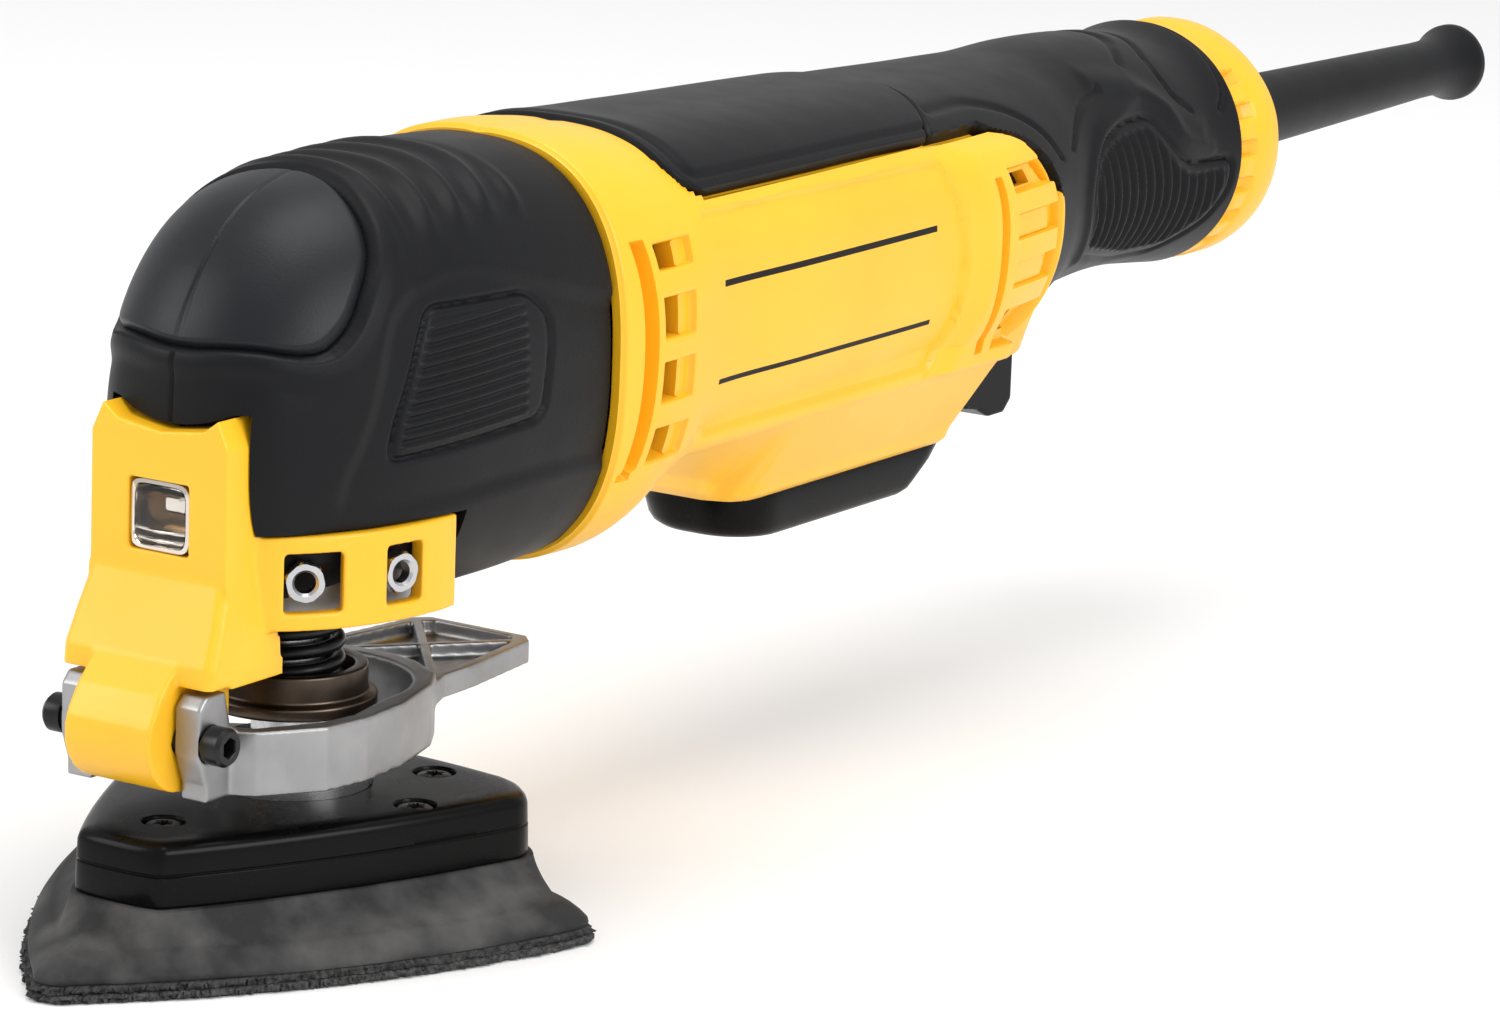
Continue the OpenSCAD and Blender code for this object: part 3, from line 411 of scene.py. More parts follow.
material("cast_aluminium", (0.36, 0.36, 0.365), 0.42, metal=1.0, second=(0.30, 0.30, 0.305),
         mottle=70, rough_span=0.09, bump=[(2.4, 0.016), (0.3, 0.02)])
material("bronzed_steel", (0.14, 0.105, 0.08), 0.34, metal=1.0, second=(0.08, 0.062, 0.05),
         mottle=160, bump=[(3.0, 0.006, (1, 1, 8))])
material("bright_steel", (0.56, 0.56, 0.57), 0.26, metal=1.0, second=(0.48, 0.48, 0.49), mottle=120,
         bump=[(3.0, 0.004, (1, 1, 6))])
material("black_steel", (0.03, 0.03, 0.032), 0.32, metal=0.85, second=(0.02, 0.02, 0.02),
         mottle=150, bump=[(3.0, 0.004)])
material("lens_plastic", (0.97, 0.98, 0.98), 0.03, spec=0.25, second=(0.95, 0.96, 0.96), mottle=30,
         rough_span=0.01, clear=1.0, ior=1.3)
material("chrome", (0.72, 0.66, 0.60), 0.10, metal=1.0, second=(0.62, 0.56, 0.50), mottle=90,
         rough_span=0.03)
smoked = material("smoked_mirror", (0.10, 0.055, 0.022), 0.16, metal=1.0, second=(0.03, 0.018, 0.01),
                  mottle=140, rough_span=0.03)
material("silicon_steel", (0.30, 0.30, 0.32), 0.42, metal=1.0, mottle=90,
         bump=[(1.0, 0.05, (0.1, 2, 0.1))])
material("copper", (0.55, 0.21, 0.07), 0.32, metal=0.9, second=(0.42, 0.14, 0.04), mottle=300,
         bump=[(1.4, 0.2, (3, 0.4, 3))])
material("brass", (0.62, 0.42, 0.14), 0.3, metal=1.0, mottle=120)
material("carbon", (0.02, 0.02, 0.021), 0.6, mottle=200, bump=[(3.0, 0.02)])
material("felt", (0.12, 0.12, 0.115), 0.95, mottle=500, bump=[(2.5, 0.15)])
material("circuit_board", (0.015, 0.11, 0.05), 0.4, second=(0.02, 0.15, 0.07), mottle=120,
         bump=[(1.0, 0.02)])
stripe = material("stripe_ink", (0.006, 0.005, 0.004), 0.45, spec=0.15, mottle=200, bump=[(2.0, 0.004)])

for node, slot in slot_of.items():
    target = nodes[node].data
    target.materials.clear()
    target.materials.append(FINISH[slot])
    target.polygons.foreach_set("material_index", np.zeros(len(target.polygons), np.int32))

# ---- head boot ------------------------------------------------------------------------------

NOSE_Y, SEAM_Y = -31.0, 46.0
# [y, half width, top, bottom, squareness]
HEAD = np.array([
    [-31.0, 0.0, 80, 80, 2.2], [-30.4, 7.2, 91, 68, 2.25], [-29.2, 11.6, 94.8, 62, 2.3],
    [-26.6, 15.4, 100.2, 58, 2.3], [-22, 18.8, 106.4, 54, 2.3], [-17, 21.5, 111, 52, 2.3],
    [-11, 24, 114.4, 50, 2.35], [-3, 26.3, 116.6, 49.4, 2.4], [7, 27.8, 117.6, 49, 2.5],
    [20, 28.6, 118, 49, 2.5], [34, 28.6, 117.8, 49, 2.5], [46, 28.2, 117.2, 49.4, 2.5]])
HEAD_U = np.arccos(1 - (HEAD[:, 0] - NOSE_Y) / (SEAM_Y - NOSE_Y))
COLUMN_HALF_W, COLUMN_TOP, NECK_TOP = 12.8, 82.6, 66.8
NECK_W, NECK_L, NECK_Y = 22.8, 30.4, 3.0


def head_point(u, a):
    """A point of the head's skin, from the nose (u 0) to the seam (u pi/2), at angle a round it."""
    y = NOSE_Y + (SEAM_Y - NOSE_Y) * (1 - np.cos(u))
    return section_point(y, a, *(spline(u, HEAD_U, HEAD[:, k]) for k in (1, 2, 3, 4)))


CROWN = rounded([(0, 49.6), (9.8, 51.6), (18.6, 55.2), (20.8, 62), (20.4, 69), (19, 75), (15, 80.5),
                 (8, 85.2), (0, 87.2), (-8, 85.2), (-15, 80.5), (-19, 75), (-20.4, 69), (-20.8, 62),
                 (-18.6, 55.2),
                 (-9.8, 51.6)], 2)
TILT_Y, TILT_Z = 0.67, 0.74     # the crown pad's plane leans this way
SIDE_PATCH = filleted([(0.2, 99.4), (23, 98.9), (27.8, 95), (28.2, 90), (26.6, 80.3), (24.4, 78.4),
                       (-8.4, 76.6), (-7.6, 82), (-2.4, 95)], 2.2)
SIDE_FIELD = rounded([(-19, 70), (-12, 86), (-9.6, 98), (-3.5, 102.6), (8, 105.2), (22, 102), (36, 97.4),
                      (60, 92), (60, 66), (30, 69), (-10, 67)], 2)


def crown_distance(p):
    """Distance from the crown pad's outline, in the plane it is laid on."""
    front = p[..., 1] < 12
    return np.where(front & (p[..., 2] > 86),
                    sdf(CROWN, p[..., 0], TILT_Y * p[..., 1] + TILT_Z * p[..., 2]), 30.0)


def boot_relief(p):
    """How far the boot's skin stands out from its plain loft, in mm."""
    x, y, z = np.abs(p[..., 0]), p[..., 1], p[..., 2]
    d = crown_distance(p)
    out = -1.5 * (1 - ease(-0.7, 0.2, d))                       # bed of the crown pad
    out += 0.8 * ease(0.1, 0.9, d) * (1 - ease(1.8, 4.6, d))    # raised lip round it
    # wavy ribs across the top, fading on the flanks
    wave = 0.5 + 0.5 * np.cos(2 * math.pi * (y - 3.6 + 0.012 * x * x) / 7.3)
    reach = (1 - ease(17, 23, x)) * ease(-1.5, 2.5, y) * (1 - ease(27.5, 31, y)) * ease(100, 106, z)
    out += (1.05 * wave ** 1.4 - 0.35) * reach
    flank = ease(14, 20, x)
    field = sdf(SIDE_FIELD, y, z)
    out += -0.9 * (1 - ease(-2.6, 0.6, field)) * flank
    patch = sdf(SIDE_PATCH, y, z)
    out += -0.8 * np.exp(-(patch / 0.55) ** 2) * flank
    ribs = 0.5 + 0.5 * np.cos(2 * math.pi * (z - 0.06 * y) / 1.75)
    out += (0.6 * ribs - 0.3) * (1 - ease(-1.9, -1.2, patch)) * (1 - ease(21.6, 22.2, y)) * flank
    # parting line down the nose, and a soft roll into the seam
    out += -0.35 * np.exp(-(x / 0.3) ** 2) * (y < -10) * ease(0.6, 1.2, d)
    out += -0.9 * ease(45.0, 46.0, y)
    return out


def flat_floor(p):
    """The skin with nothing below the gear case at its front."""
    q = p.copy()
    q[..., 2] = np.maximum(q[..., 2], 52.3 * (1 - ease(11, 13, q[..., 1])))
    return q


def neck_cutters():
    """Solids outside the neck oval: a band under the arms and the bed of the light column."""
    rows = []
    for deg in np.r_[11.4, np.arange(8, -188, -4), -191.4]:
        c, s = math.cos(math.radians(deg)), math.sin(math.radians(deg))
        near = np.array([NECK_W * c, NECK_Y + NECK_L * s])
        out = np.array([c, s]) if s < 0 else np.array([math.copysign(1, c), 0])
        far = near + out * 40
        rows.append([(*near, 40), (*far, 40), (*far, NECK_TOP), (*near, NECK_TOP)])
    band = ring_mesh(rows)
    rows = []
    for x in np.linspace(-COLUMN_HALF_W - 0.25, COLUMN_HALF_W + 0.25, 33):
        back = NECK_Y - NECK_L * math.sqrt(1 - (x / NECK_W) ** 2)
        top = COLUMN_TOP + 0.3 + 2.45 * min(abs(x) / 10.8, 1) ** 2
        rows.append([(x, back, 39), (x, -60, 39), (x, -60, top), (x, back, top)])
    return band, ring_mesh(rows)


def spread_angles(half_w, half_h, n, count, flank_weight):
    """Angles that land evenly along a cross-section, closer together on its flanks."""
    a = np.linspace(0, 2 * math.pi, 8001)
    x, z = oval(a, half_w, half_h, n)
    weight = 1 + flank_weight * (np.abs(z[1:] - 5) < 13) * (np.abs(x[1:]) > half_w / 2)
    run = np.r_[0, np.cumsum(np.hypot(np.diff(x), np.diff(z)) * weight)]
    return np.interp(np.linspace(0, run[-1], count, endpoint=False), run, a)


u_rows = np.r_[np.linspace(0.012, 0.6, 52, endpoint=False), np.linspace(0.6, math.pi / 2, 124)]
angles = spread_angles(28.4, 34.3, 2.45, 450, 1.4)
U, A = np.meshgrid(u_rows, angles, indexing="ij")
base = head_point(U, A)
base_n = grid_normals(base, True, (80, 0), 0)
boot_outer = flat_floor(base + base_n * boot_relief(base)[..., None])
inner_u = np.linspace(math.pi / 2, 0.35, 16)
U2, A2 = np.meshgrid(inner_u, angles, indexing="ij")
inner = head_point(U2, A2)
centre = np.array([0, 0, 84.0])
shrink = np.array([0.88, 1.0, 0.9])
boot_inner = (inner - centre) * shrink + centre
boot_inner[..., 1] = np.where(boot_inner[..., 1] < 44, boot_inner[..., 1] + 2, boot_inner[..., 1])
squeeze = np.hypot(boot_inner[..., 0] / 19.8, np.minimum(boot_inner[..., 1] - NECK_Y, 0) / 27.4)
squeeze = np.maximum(squeeze, 1)[..., None]
boot_inner = np.concatenate([boot_inner[..., :1] / squeeze,
                             NECK_Y + (boot_inner[..., 1:2] - NECK_Y) / squeeze,
                             np.maximum(boot_inner[..., 2:], 55.5)], -1)
boot = piece("head_boot_skin", *ring_mesh(np.concatenate([boot_outer, boot_inner])), "head_boot", sharp=55)
for solid in (*neck_cutters(), lathe([(20.6, 38), (20.6, 62)], 96, closed=False)):
    cut(boot, *solid, sharp=55)

# crown pad: a domed inset with a rolled edge, laid on the nose from in front and above
flat_u, flat_a = np.meshgrid(np.linspace(0.012, math.pi / 2, 90), around(180), indexing="ij")
pv, pf = ring_mesh(head_point(flat_u, flat_a))
tree = BVHTree.FromPolygons([tuple(v) for v in pv], [tuple(f) for f in pf])
ray = Vector((0, TILT_Z, -TILT_Y))
hub = np.array([0.0, 68.0])
edge = resample(CROWN, 220) - hub
radial = np.r_[np.linspace(0, 0.86, 34, endpoint=False), np.linspace(0.86, 0.985, 16)]


def crown_grid(lift):
    """Rings from the crown pad's edge to its middle, lifted off the nose by their distance from the edge."""
    rows = []
    for t in radial[::-1]:
        ring = []
        for e in edge:
            x, v = hub + e * max(t, 0.002)
            origin = Vector((x, TILT_Y * v, TILT_Z * v)) - ray * 120
            hit, normal, _, _ = tree.ray_cast(origin, ray)
            if normal.dot(ray) > 0:
                normal = -normal
            ring.append(hit + normal * lift((1 - t) * math.hypot(*e)))
        rows.append(ring)
    return np.array(rows)


top_side = crown_grid(lambda m: -0.9 + 1.45 * float(ease(-0.3, 1.5, np.array(m))) + 0.25 * min(m / 12, 1))
low_side = crown_grid(lambda m: -1.3)
line = np.exp(-(top_side[..., 0] / 0.28) ** 2) * 0.3
top_side -= line[..., None] * np.array([0, -0.67, 0.74])
piece("crown_pad_inset", *ring_mesh(np.concatenate([low_side[::-1], top_side])), "crown_pad",
      finish=[pad_skin], sharp=60)

# ---- casing halves --------------------------------------------------------------------------

BODY = np.array([
    [46, 29.2, 118.2, 48.6, 2.6], [56, 30, 118, 49, 2.6], [66, 29.6, 116.8, 53, 2.7],
    [74, 29, 115.8, 58, 2.9], [100, 29, 114.4, 61, 3], [140, 28.6, 113, 62, 3], [166, 28.2, 112.2, 62.5, 2.8],
    [184, 26, 112, 65, 2.5], [192, 24.4, 112, 66.8, 2.4], [200, 22.6, 112, 68.4, 2.3],
    [216, 21.4, 112.6, 69.8, 2.2], [236, 21.2, 111.8, 69.6, 2.1], [248, 21.3, 110.6, 68.4, 2.1],
    [257, 22.3, 111.9, 67.3, 2]])


def body_section(y):
    """Half width, top, bottom and squareness of the casing at y."""
    return tuple(spline(y, BODY[:, 0], BODY[:, k]) for k in (1, 2, 3, 4))


def side_x(y, z):
    """Half width of the barrel at height z."""
    w, top, low, n = body_section(y)
    s = np.clip(np.abs(z - (top + low) / 2) / ((top - low) / 2), 0, 0.9999)
    return w * (1 - s ** n) ** (1 / n)


SIDE_TOP, SIDE_LOW = 106.0, 66.0
REAR_Z = [60, 64, 66, 70, 75, 80, 86, 92, 97, 101, 104, 106, 112]
REAR_Y = [176, 177, 178, 180, 182.4, 184, 185, 184.6, 182, 177.6, 171, 163, 160]
REAR_FLAT = 184.0     # where the rear edge lies before it is bent into its curve


def rear_edge(z):
    """Y where the yellow casing ends and the black rear grip shows, by height."""
    return spline(z, REAR_Z, REAR_Y)


GRIP_FRONT, GRIP_LOW = 66.5, 106.4


def top_grip_depth(y, x, z):
    """Distance inside the top grip's outline: positive under the grip."""
    low = GRIP_LOW - 0.6 * ease(120, 160, y) - 16 * ease(163, 190, y)
    corner = 9 * (1 - np.sqrt(1 - np.clip((28 - np.clip(z - low, 0, 9) * 28 / 9) / 28, 0, 1) ** 2))
    return np.minimum(y - GRIP_FRONT - corner, z - low)


PANEL = filleted([(70.6, 104.6), (143.6, 103.4), (147.6, 96), (150.2, 86), (149, 76), (144.4, 67.4),
                  (70.6, 67.4)], 1.6)
VENT_Y = (56.6, 65.4)
VENT_HOLE_Y = (57.6, 61.8)
VENT_Z = [(97.4, 101.6), (86.4, 93), (76.2, 82.6), (66.4, 72)]
SLOT_Y, SLOT_Z = (51.3, 54.5), (64.6, 102.4)
STRIPES = [(91.9, 93.0), (75.7, 76.6)]
STRIPE_Y = (75.8, 141)
GROOVE_Y, GROOVE_Z = (158.4, 160.6), (68.6, 98.4)
LOUVRE_Y, LOUVRE_Z = (164.2, 181.6), (68.8, 99.4)
SLATS = [(75.4, 79.3), (83.4, 87.4), (91.6, 95.4)]
OPENINGS = [(70.6, 74.8), (96.0, 98.6)]
OPENING_Y = (166.6, 174.6)
TRIGGER_Y, TRIGGER_X, TRIGGER_Z = (107.5, 175.2), 12.85, 49.4
FLANK_X = 15.0
BEND_Y = 141.0        # rows behind this bend towards the rear edge's curve


def in_box(u, v, us, vs, soft=0.25):
    """1 inside a rectangle, falling to 0 across its edges."""
    d = np.maximum(np.abs(u - sum(us) / 2) - (us[1] - us[0]) / 2,
                   np.abs(v - sum(vs) / 2) - (vs[1] - vs[0]) / 2)
    return 1 - ease(-soft, soft, d)


def casing_relief(x, y, z, rear, flat):
    """How far the casing stands out from its plain loft. flat is y before the rows were bent."""
    x = np.abs(x)
    out = -0.8 * (1 - ease(46.0, 46.9, y))
    out += -2.1 * ease(-0.2, 0.3, top_grip_depth(y, x, z))
    flank = ease(14, 20, x)
    out += -0.7 * (1 - ease(-0.35, 0.15, sdf(PANEL, y, z))) * flank
    out += -2.6 * in_box(flat, z, SLOT_Y, SLOT_Z) * flank
    for pair in VENT_Z:
        out += -1.2 * in_box(flat, z, VENT_Y, pair, 0.3) * flank
    arc = 150.2 - 0.0195 * (z - 85.5) ** 2
    swell = 0.35 * ease(0, 0.5, y - arc) + 1.3 * ease(0.3, 8, y - arc)
    out += swell * flank * (1 - ease(102, 106, z)) * ease(65, 66.5, z)
    out += -2.2 * in_box(flat, z, GROOVE_Y, GROOVE_Z) * flank
    window = in_box(flat, z, LOUVRE_Y, LOUVRE_Z, 0.3)
    floor = np.full(z.shape, -2.5)
    gaps = [(a[1], b[0]) for a, b in zip(SLATS, SLATS[1:])]
    for heights, rise, short in [(pair, 2.3, 1.2) for pair in SLATS] + [(pair, 1.5, 4) for pair in gaps]:
        slat = in_box(flat, z, (160, LOUVRE_Y[1] - short), heights, 0.2)
        floor = np.maximum(floor, -2.5 + rise * slat)
    out += floor * window * flank
    out += -1.3 * (1 - ease(0, 1.6, rear - y)) * ease(63, 66, z)
    out += -0.25 * np.exp(-(x / 0.35) ** 2)
    return out


top_t = np.linspace(0, 1, 26)[:-1]


def grid_line(plain, edges, gap=0.2):
    """Plain spacing with a line on every edge and on both shoulders of it."""
    edges = np.unique(np.round(edges, 3))
    near = np.abs(plain[:, None] - edges[None]).min(1)
    return np.unique(np.round(np.r_[plain[near > gap * 1.6], edges, edges - gap, edges + gap], 3))


flat_edges = [z for pair in VENT_Z + STRIPES + SLATS + OPENINGS + [SLOT_Z, GROOVE_Z, LOUVRE_Z] for z in pair]
side_z = grid_line(np.arange(SIDE_LOW, SIDE_TOP + 0.01, 0.5), flat_edges)[::-1]
side_z = side_z[(side_z <= SIDE_TOP) & (side_z >= SIDE_LOW)]
side_z = side_z[np.r_[True, np.abs(np.diff(side_z)) > 0.06]]
low_t = np.linspace(0, 1, 60)[1:]
y_lines = grid_line(np.r_[
    np.arange(46, 47.2, 0.3), np.arange(47.2, 56, 0.5), np.arange(56, 65, 0.8), np.arange(65, 72.5, 0.45),
    np.arange(72.5, 101, 1.6), np.arange(101, 112, 0.6), np.arange(112, 140, 1.6)],
    [*SLOT_Y, *VENT_Y, *VENT_HOLE_Y, STRIPE_Y[0], TRIGGER_Y[0]], 0.22)
y_lines = y_lines[(y_lines >= 46) & (y_lines < 140.9)]
rear_flat = grid_line(np.arange(BEND_Y, REAR_FLAT - 0.2, 0.5),
                      [*GROOVE_Y, *LOUVRE_Y, *OPENING_Y, TRIGGER_Y[1]], 0.22)
rear_flat = np.r_[rear_flat[rear_flat < REAR_FLAT - 0.15], REAR_FLAT]


def casing_column_heights(y):
    """Points of one casing cross-section, from the top centre round the side to the bottom centre."""
    w, top, low, n = body_section(y)
    mid, half = (top + low) / 2, (top - low) / 2
    a_top = np.arcsin(np.clip((SIDE_TOP - mid) / half, -1, 1) ** (n / 2))
    rows = []
    for t in top_t:
        a = math.pi / 2 + (a_top - math.pi / 2) * t
        rows.append((w * np.cos(a) ** (2 / n), mid + half * np.sin(a) ** (2 / n)))
    skirt = ease(60, 76, y) * (1 - ease(168.6, 172.2, y))
    for z in side_z:
        plain = side_x(y, z)
        held = 25.0 + 0.12 * max(z - 66, 0)
        rows.append((plain + np.maximum(held - plain, 0) * skirt * (z < 72), np.full_like(y, z)))
    # under the side band: the round barrel, or the sloping skirt of the trigger shroud
    x_low = rows[-1][0]
    a_low = np.arcsin(np.clip((mid - SIDE_LOW) / half, 0, 1) ** (n / 2))
    bottom = np.interp(y, [70, 79, 103, 106], [56, 55.6, 49.0, 48.8])
    edge = np.interp(y, [70, 79, 98, 103, 105, 108, 111], [14.4, 14.4, 9.5, 9.0, 12.2, 14.0, 14.4])
    for t in low_t:
        a = a_low + (math.pi / 2 - a_low) * t
        bx, bz = w * np.cos(a) ** (2 / n), mid - half * np.sin(a) ** (2 / n)
        knots = [0, 0.06, 0.12, 0.56, 0.62, 0.68, 1.0]
        k = min(np.searchsorted(knots, t) - 1, 5)
        f = (t - knots[k]) / (knots[k + 1] - knots[k])
        xs = [x_low, x_low - 0.25, x_low - 0.9, edge + 1.0, edge + 0.1, edge - 1.3, edge * 0]
        zs = [SIDE_LOW, 65.3, 64.6, bottom + 3.2, bottom + 1.1, bottom, bottom]
        px, pz = xs[k] + (xs[k + 1] - xs[k]) * f, zs[k] + (zs[k + 1] - zs[k]) * f
        rows.append((bx + (px - bx) * skirt, bz + (pz - bz) * skirt))
    return rows


def casing_grid():
    """Points of one casing half, the rear edge of each of its columns, and y before the rows were bent."""
    cols = len(top_t) + len(side_z) + len(low_t)
    z_of = np.r_[np.linspace(112, SIDE_TOP, len(top_t)), side_z, np.full(len(low_t), 60.0)]
    ends = rear_edge(z_of)
    ends[len(top_t) + len(side_z):] = np.interp(np.linspace(0, 1, len(low_t)), [0, 0.15, 1],
                                                [float(rear_edge(SIDE_LOW)), 177.4, 177.4])
    bow = -0.0062 * (np.clip(z_of, 62, 106) - 86) ** 2
    front = y_lines[:, None] + bow[None] * (ease(46, 52.2, y_lines) * (1 - ease(55, 64, y_lines)))[:, None]
    rear = BEND_Y + (rear_flat[:, None] - BEND_Y) / (REAR_FLAT - BEND_Y) * (ends[None] - BEND_Y)
    y = np.concatenate([front, rear])
    flat = np.repeat(np.r_[y_lines, rear_flat][:, None], cols, 1)
    x, z = np.zeros_like(y), np.zeros_like(y)
    for j in range(cols):
        cx, cz = casing_column_heights(y[:, j])[j]
        x[:, j], z[:, j] = cx, cz
    return np.stack([x, y, z], 2), np.repeat(ends[None], len(y), 0), flat


skin, skin_end, skin_flat = casing_grid()
skin_n = grid_normals(skin, False, (60, len(top_t) + 20), 0)
skin_n[:, 0] = [0, 0, 1]
skin_n[:, -1] = [0, 0, -1]
relief = casing_relief(*np.moveaxis(skin, 2, 0), skin_end, skin_flat)
outer = skin + skin_n * relief[..., None]
thick = 2.4 - 1.1 * (1 - ease(52, 60, skin[..., 2]))
thick = thick + (1.6 * ease(54.6, 56.2, skin_flat) * (1 - ease(66, 68, skin_flat))
                 + 1.4 * ease(162, 164, skin_flat)) * ease(64, 66, skin[..., 2])
inner = skin - skin_n * (thick + np.maximum(0, -relief - 0.8))[..., None]
outer[..., 0] = np.maximum(outer[..., 0], 0.02)
inner[..., 0] = np.maximum(inner[..., 0], 0.02)
outer[:, 0, 0] = outer[:, -1, 0] = inner[:, 0, 0] = inner[:, -1, 0] = 0.02

cell = (skin[:-1, :-1] + skin[1:, :-1] + skin[1:, 1:] + skin[:-1, 1:]) / 4
cy, cz, cx = cell[..., 1], cell[..., 2], cell[..., 0]
keep = np.ones(cy.shape, bool)
cf = (skin_flat[:-1, :-1] + skin_flat[1:, :-1]) / 2


def flank_cells(ys, zs):
    """Cells of the casing's flank inside a rectangle."""
    return (cf > ys[0]) & (cf < ys[1]) & (cz > zs[0]) & (cz < zs[1]) & (cx > FLANK_X)


for heights in VENT_Z:
    keep &= ~flank_cells(VENT_HOLE_Y, heights)
for heights in OPENINGS:
    keep &= ~flank_cells(OPENING_Y, heights)
keep &= ~((cf > TRIGGER_Y[0]) & (cf < TRIGGER_Y[1]) & (cz < TRIGGER_Z) & (cx < TRIGGER_X))
inked = np.zeros(cy.shape, bool)
for heights in STRIPES:
    inked |= flank_cells(STRIPE_Y, heights)
for side, sign in (("left", 1), ("right", -1)):
    flip = np.array([sign, 1, 1])
    v, f, n_outer = slab_mesh(outer * flip, inner * flip, keep)
    marks = np.zeros(len(f), int)
    marks[:n_outer] = inked[keep]
    piece(f"casing_{side}", v, turned_out(f.tolist(), v), f"housing_{side}", finish=[yellow, stripe],
          sharp=50, groups=marks)

# ---- top grip and rear grip -----------------------------------------------------------------


def body_point(y, a):
    """A point of the barrel's plain skin at angle a round it."""
    return section_point(y, a, *body_section(y))


def seam_y(x):
    """The curved seam between the top grip and the rear grip."""
    return 154.5 - 0.02 * x * x


def grip_angle(y):
    """Angle of the top grip's lower edge."""
    w, top, low, n = body_section(y)
    mid, half = (top + low) / 2, (top - low) / 2
    edge_z = GRIP_LOW + 0.5 - 0.6 * ease(120, 160, y)
    return np.arcsin(((edge_z - mid) / half) ** (n / 2))


s_rows = np.r_[np.linspace(0, 0.03, 8, endpoint=False), np.linspace(0.03, 0.96, 90, endpoint=False),
               np.linspace(0.96, 1, 10)]
t_cols = np.r_[np.linspace(-1, -0.9, 14, endpoint=False), np.linspace(-0.9, 0.9, 110, endpoint=False),
               np.linspace(0.9, 1, 15)]
S, TT = np.meshgrid(s_rows, t_cols, indexing="ij")
front = GRIP_FRONT + 0.3 + 9 * (1 - np.sqrt(1 - np.clip((np.abs(TT) - 0.72) / 0.28, 0, 1) ** 2))
Y = front.copy()
for _ in range(3):
    lim = grip_angle(Y)
    ang = math.pi / 2 - (math.pi / 2 - lim) * TT
    rear = seam_y(body_point(Y, ang)[..., 0]) - 0.25
    Y = front + S * (rear - front)
top_skin = body_point(Y, math.pi / 2 - (math.pi / 2 - grip_angle(Y)) * TT)
top_n = grid_normals(top_skin, False, (50, 70), 2)
edge_mm = np.minimum(np.minimum((Y - front), (rear - Y)), (1 - np.abs(TT)) * 27)
step = np.minimum((Y - front), (1 - np.abs(TT)) * 27)
height = (-0.5 + 1.3 * ease(-0.2, 1.0, edge_mm) + 0.35 * ease(3.6, 5.2, step)
          - 0.35 * np.exp(-((step - 3.4) / 0.5) ** 2))
piece_v, piece_f, _ = slab_mesh(top_skin + top_n * height[..., None], top_skin - top_n * 1.6)
piece("top_grip_pad", piece_v, turned_out(piece_f.tolist(), piece_v), "top_grip", sharp=60)

CAP_Y = 257.0
SLEEVE_LOW_Y = 178.5  # front of the rear grip's underside
REAR_PATCH = filleted([(202.6, 94), (206, 97.4), (213, 99.8), (225, 100.4), (230.6, 96), (235.6, 91.8),
                       (240.5, 89.8), (253.6, 89.6), (254, 84), (250, 78), (240, 73), (226, 73.4),
                       (204.6, 77.6), (202, 86)], 2.4)
REAR_RIDGE = [(202, 78), (200.6, 92), (206, 98.6), (214.6, 101.6), (225, 103.6), (231, 100.8), (236, 95.6),
              (246, 91.9)]
REAR_SWELL = [(211, 107.6), (224, 105.6), (236, 99), (243, 96)]
REAR_GROOVES = [
    [(236, 113), (234.2, 111.9), (230.5, 110.8), (225.5, 108.6)],
    [(243, 113), (240, 111), (235.4, 108), (236, 103), (241.2, 99.2)],
    [(256, 112), (255.4, 106), (254, 101), (251.4, 98.4)],
    [(211.7, 106), (204.5, 104.7), (198, 101.8), (193, 98.6)],
    [(150, 109.8), (166, 109.2), (174, 107.2), (182, 103), (187, 98)],
]


def polyline_distance(points, u, v):
    """Distance to an open line through points."""
    best = np.full(u.shape, 1e9)
    pts = np.asarray(points, float)
    for a, b in zip(pts[:-1], pts[1:]):
        e = b - a
        t = np.clip(((u - a[0]) * e[0] + (v - a[1]) * e[1]) / (e @ e), 0, 1)
        best = np.minimum(best, np.hypot(u - a[0] - t * e[0], v - a[1] - t * e[1]))
    return best


def curve(points, count=24):
    """A smooth curve through points."""
    pts = np.asarray(points, float)
    run = np.r_[0, np.cumsum(np.hypot(*np.diff(pts, axis=0).T))]
    at = np.linspace(0, run[-1], count)
    return np.stack([spline(at, run, pts[:, 0]), spline(at, run, pts[:, 1])], 1)


def rear_relief(p):
    """How far the rear grip stands out from its plain loft, in mm."""
    x, y, z = np.abs(p[..., 0]), p[..., 1], p[..., 2]
    flank = ease(8, 14, x)
    under = np.minimum(rear_edge(np.clip(z, 60, 112)) - y, 106.7 - z)
    out = 0.5 - 3.6 * ease(-0.4, 0.3, under) * (z > 61)
    patch = sdf(REAR_PATCH, y, z)
    out += -0.85 * np.exp(-(patch / 0.55) ** 2) * flank
    ribs = 0.5 + 0.5 * np.cos(2 * math.pi * (y + 0.22 * (z - 85) + 0.012 * (z - 85) ** 2) / 3.1)
    out += (1.1 * ribs - 0.6) * (1 - ease(-2.6, -1.7, patch)) * flank
    out += 0.9 * np.exp(-(polyline_distance(curve(REAR_RIDGE), y, z) / 1.6) ** 2) * flank
    for points in REAR_GROOVES:
        out += -0.65 * np.exp(-(polyline_distance(curve(points), y, z) / 0.5) ** 2)
    out += 0.5 * np.exp(-(polyline_distance(REAR_SWELL, y, z) / 2.0) ** 2) * flank
    out += -0.7 * ease(CAP_Y - 0.9, CAP_Y, y)
    return out


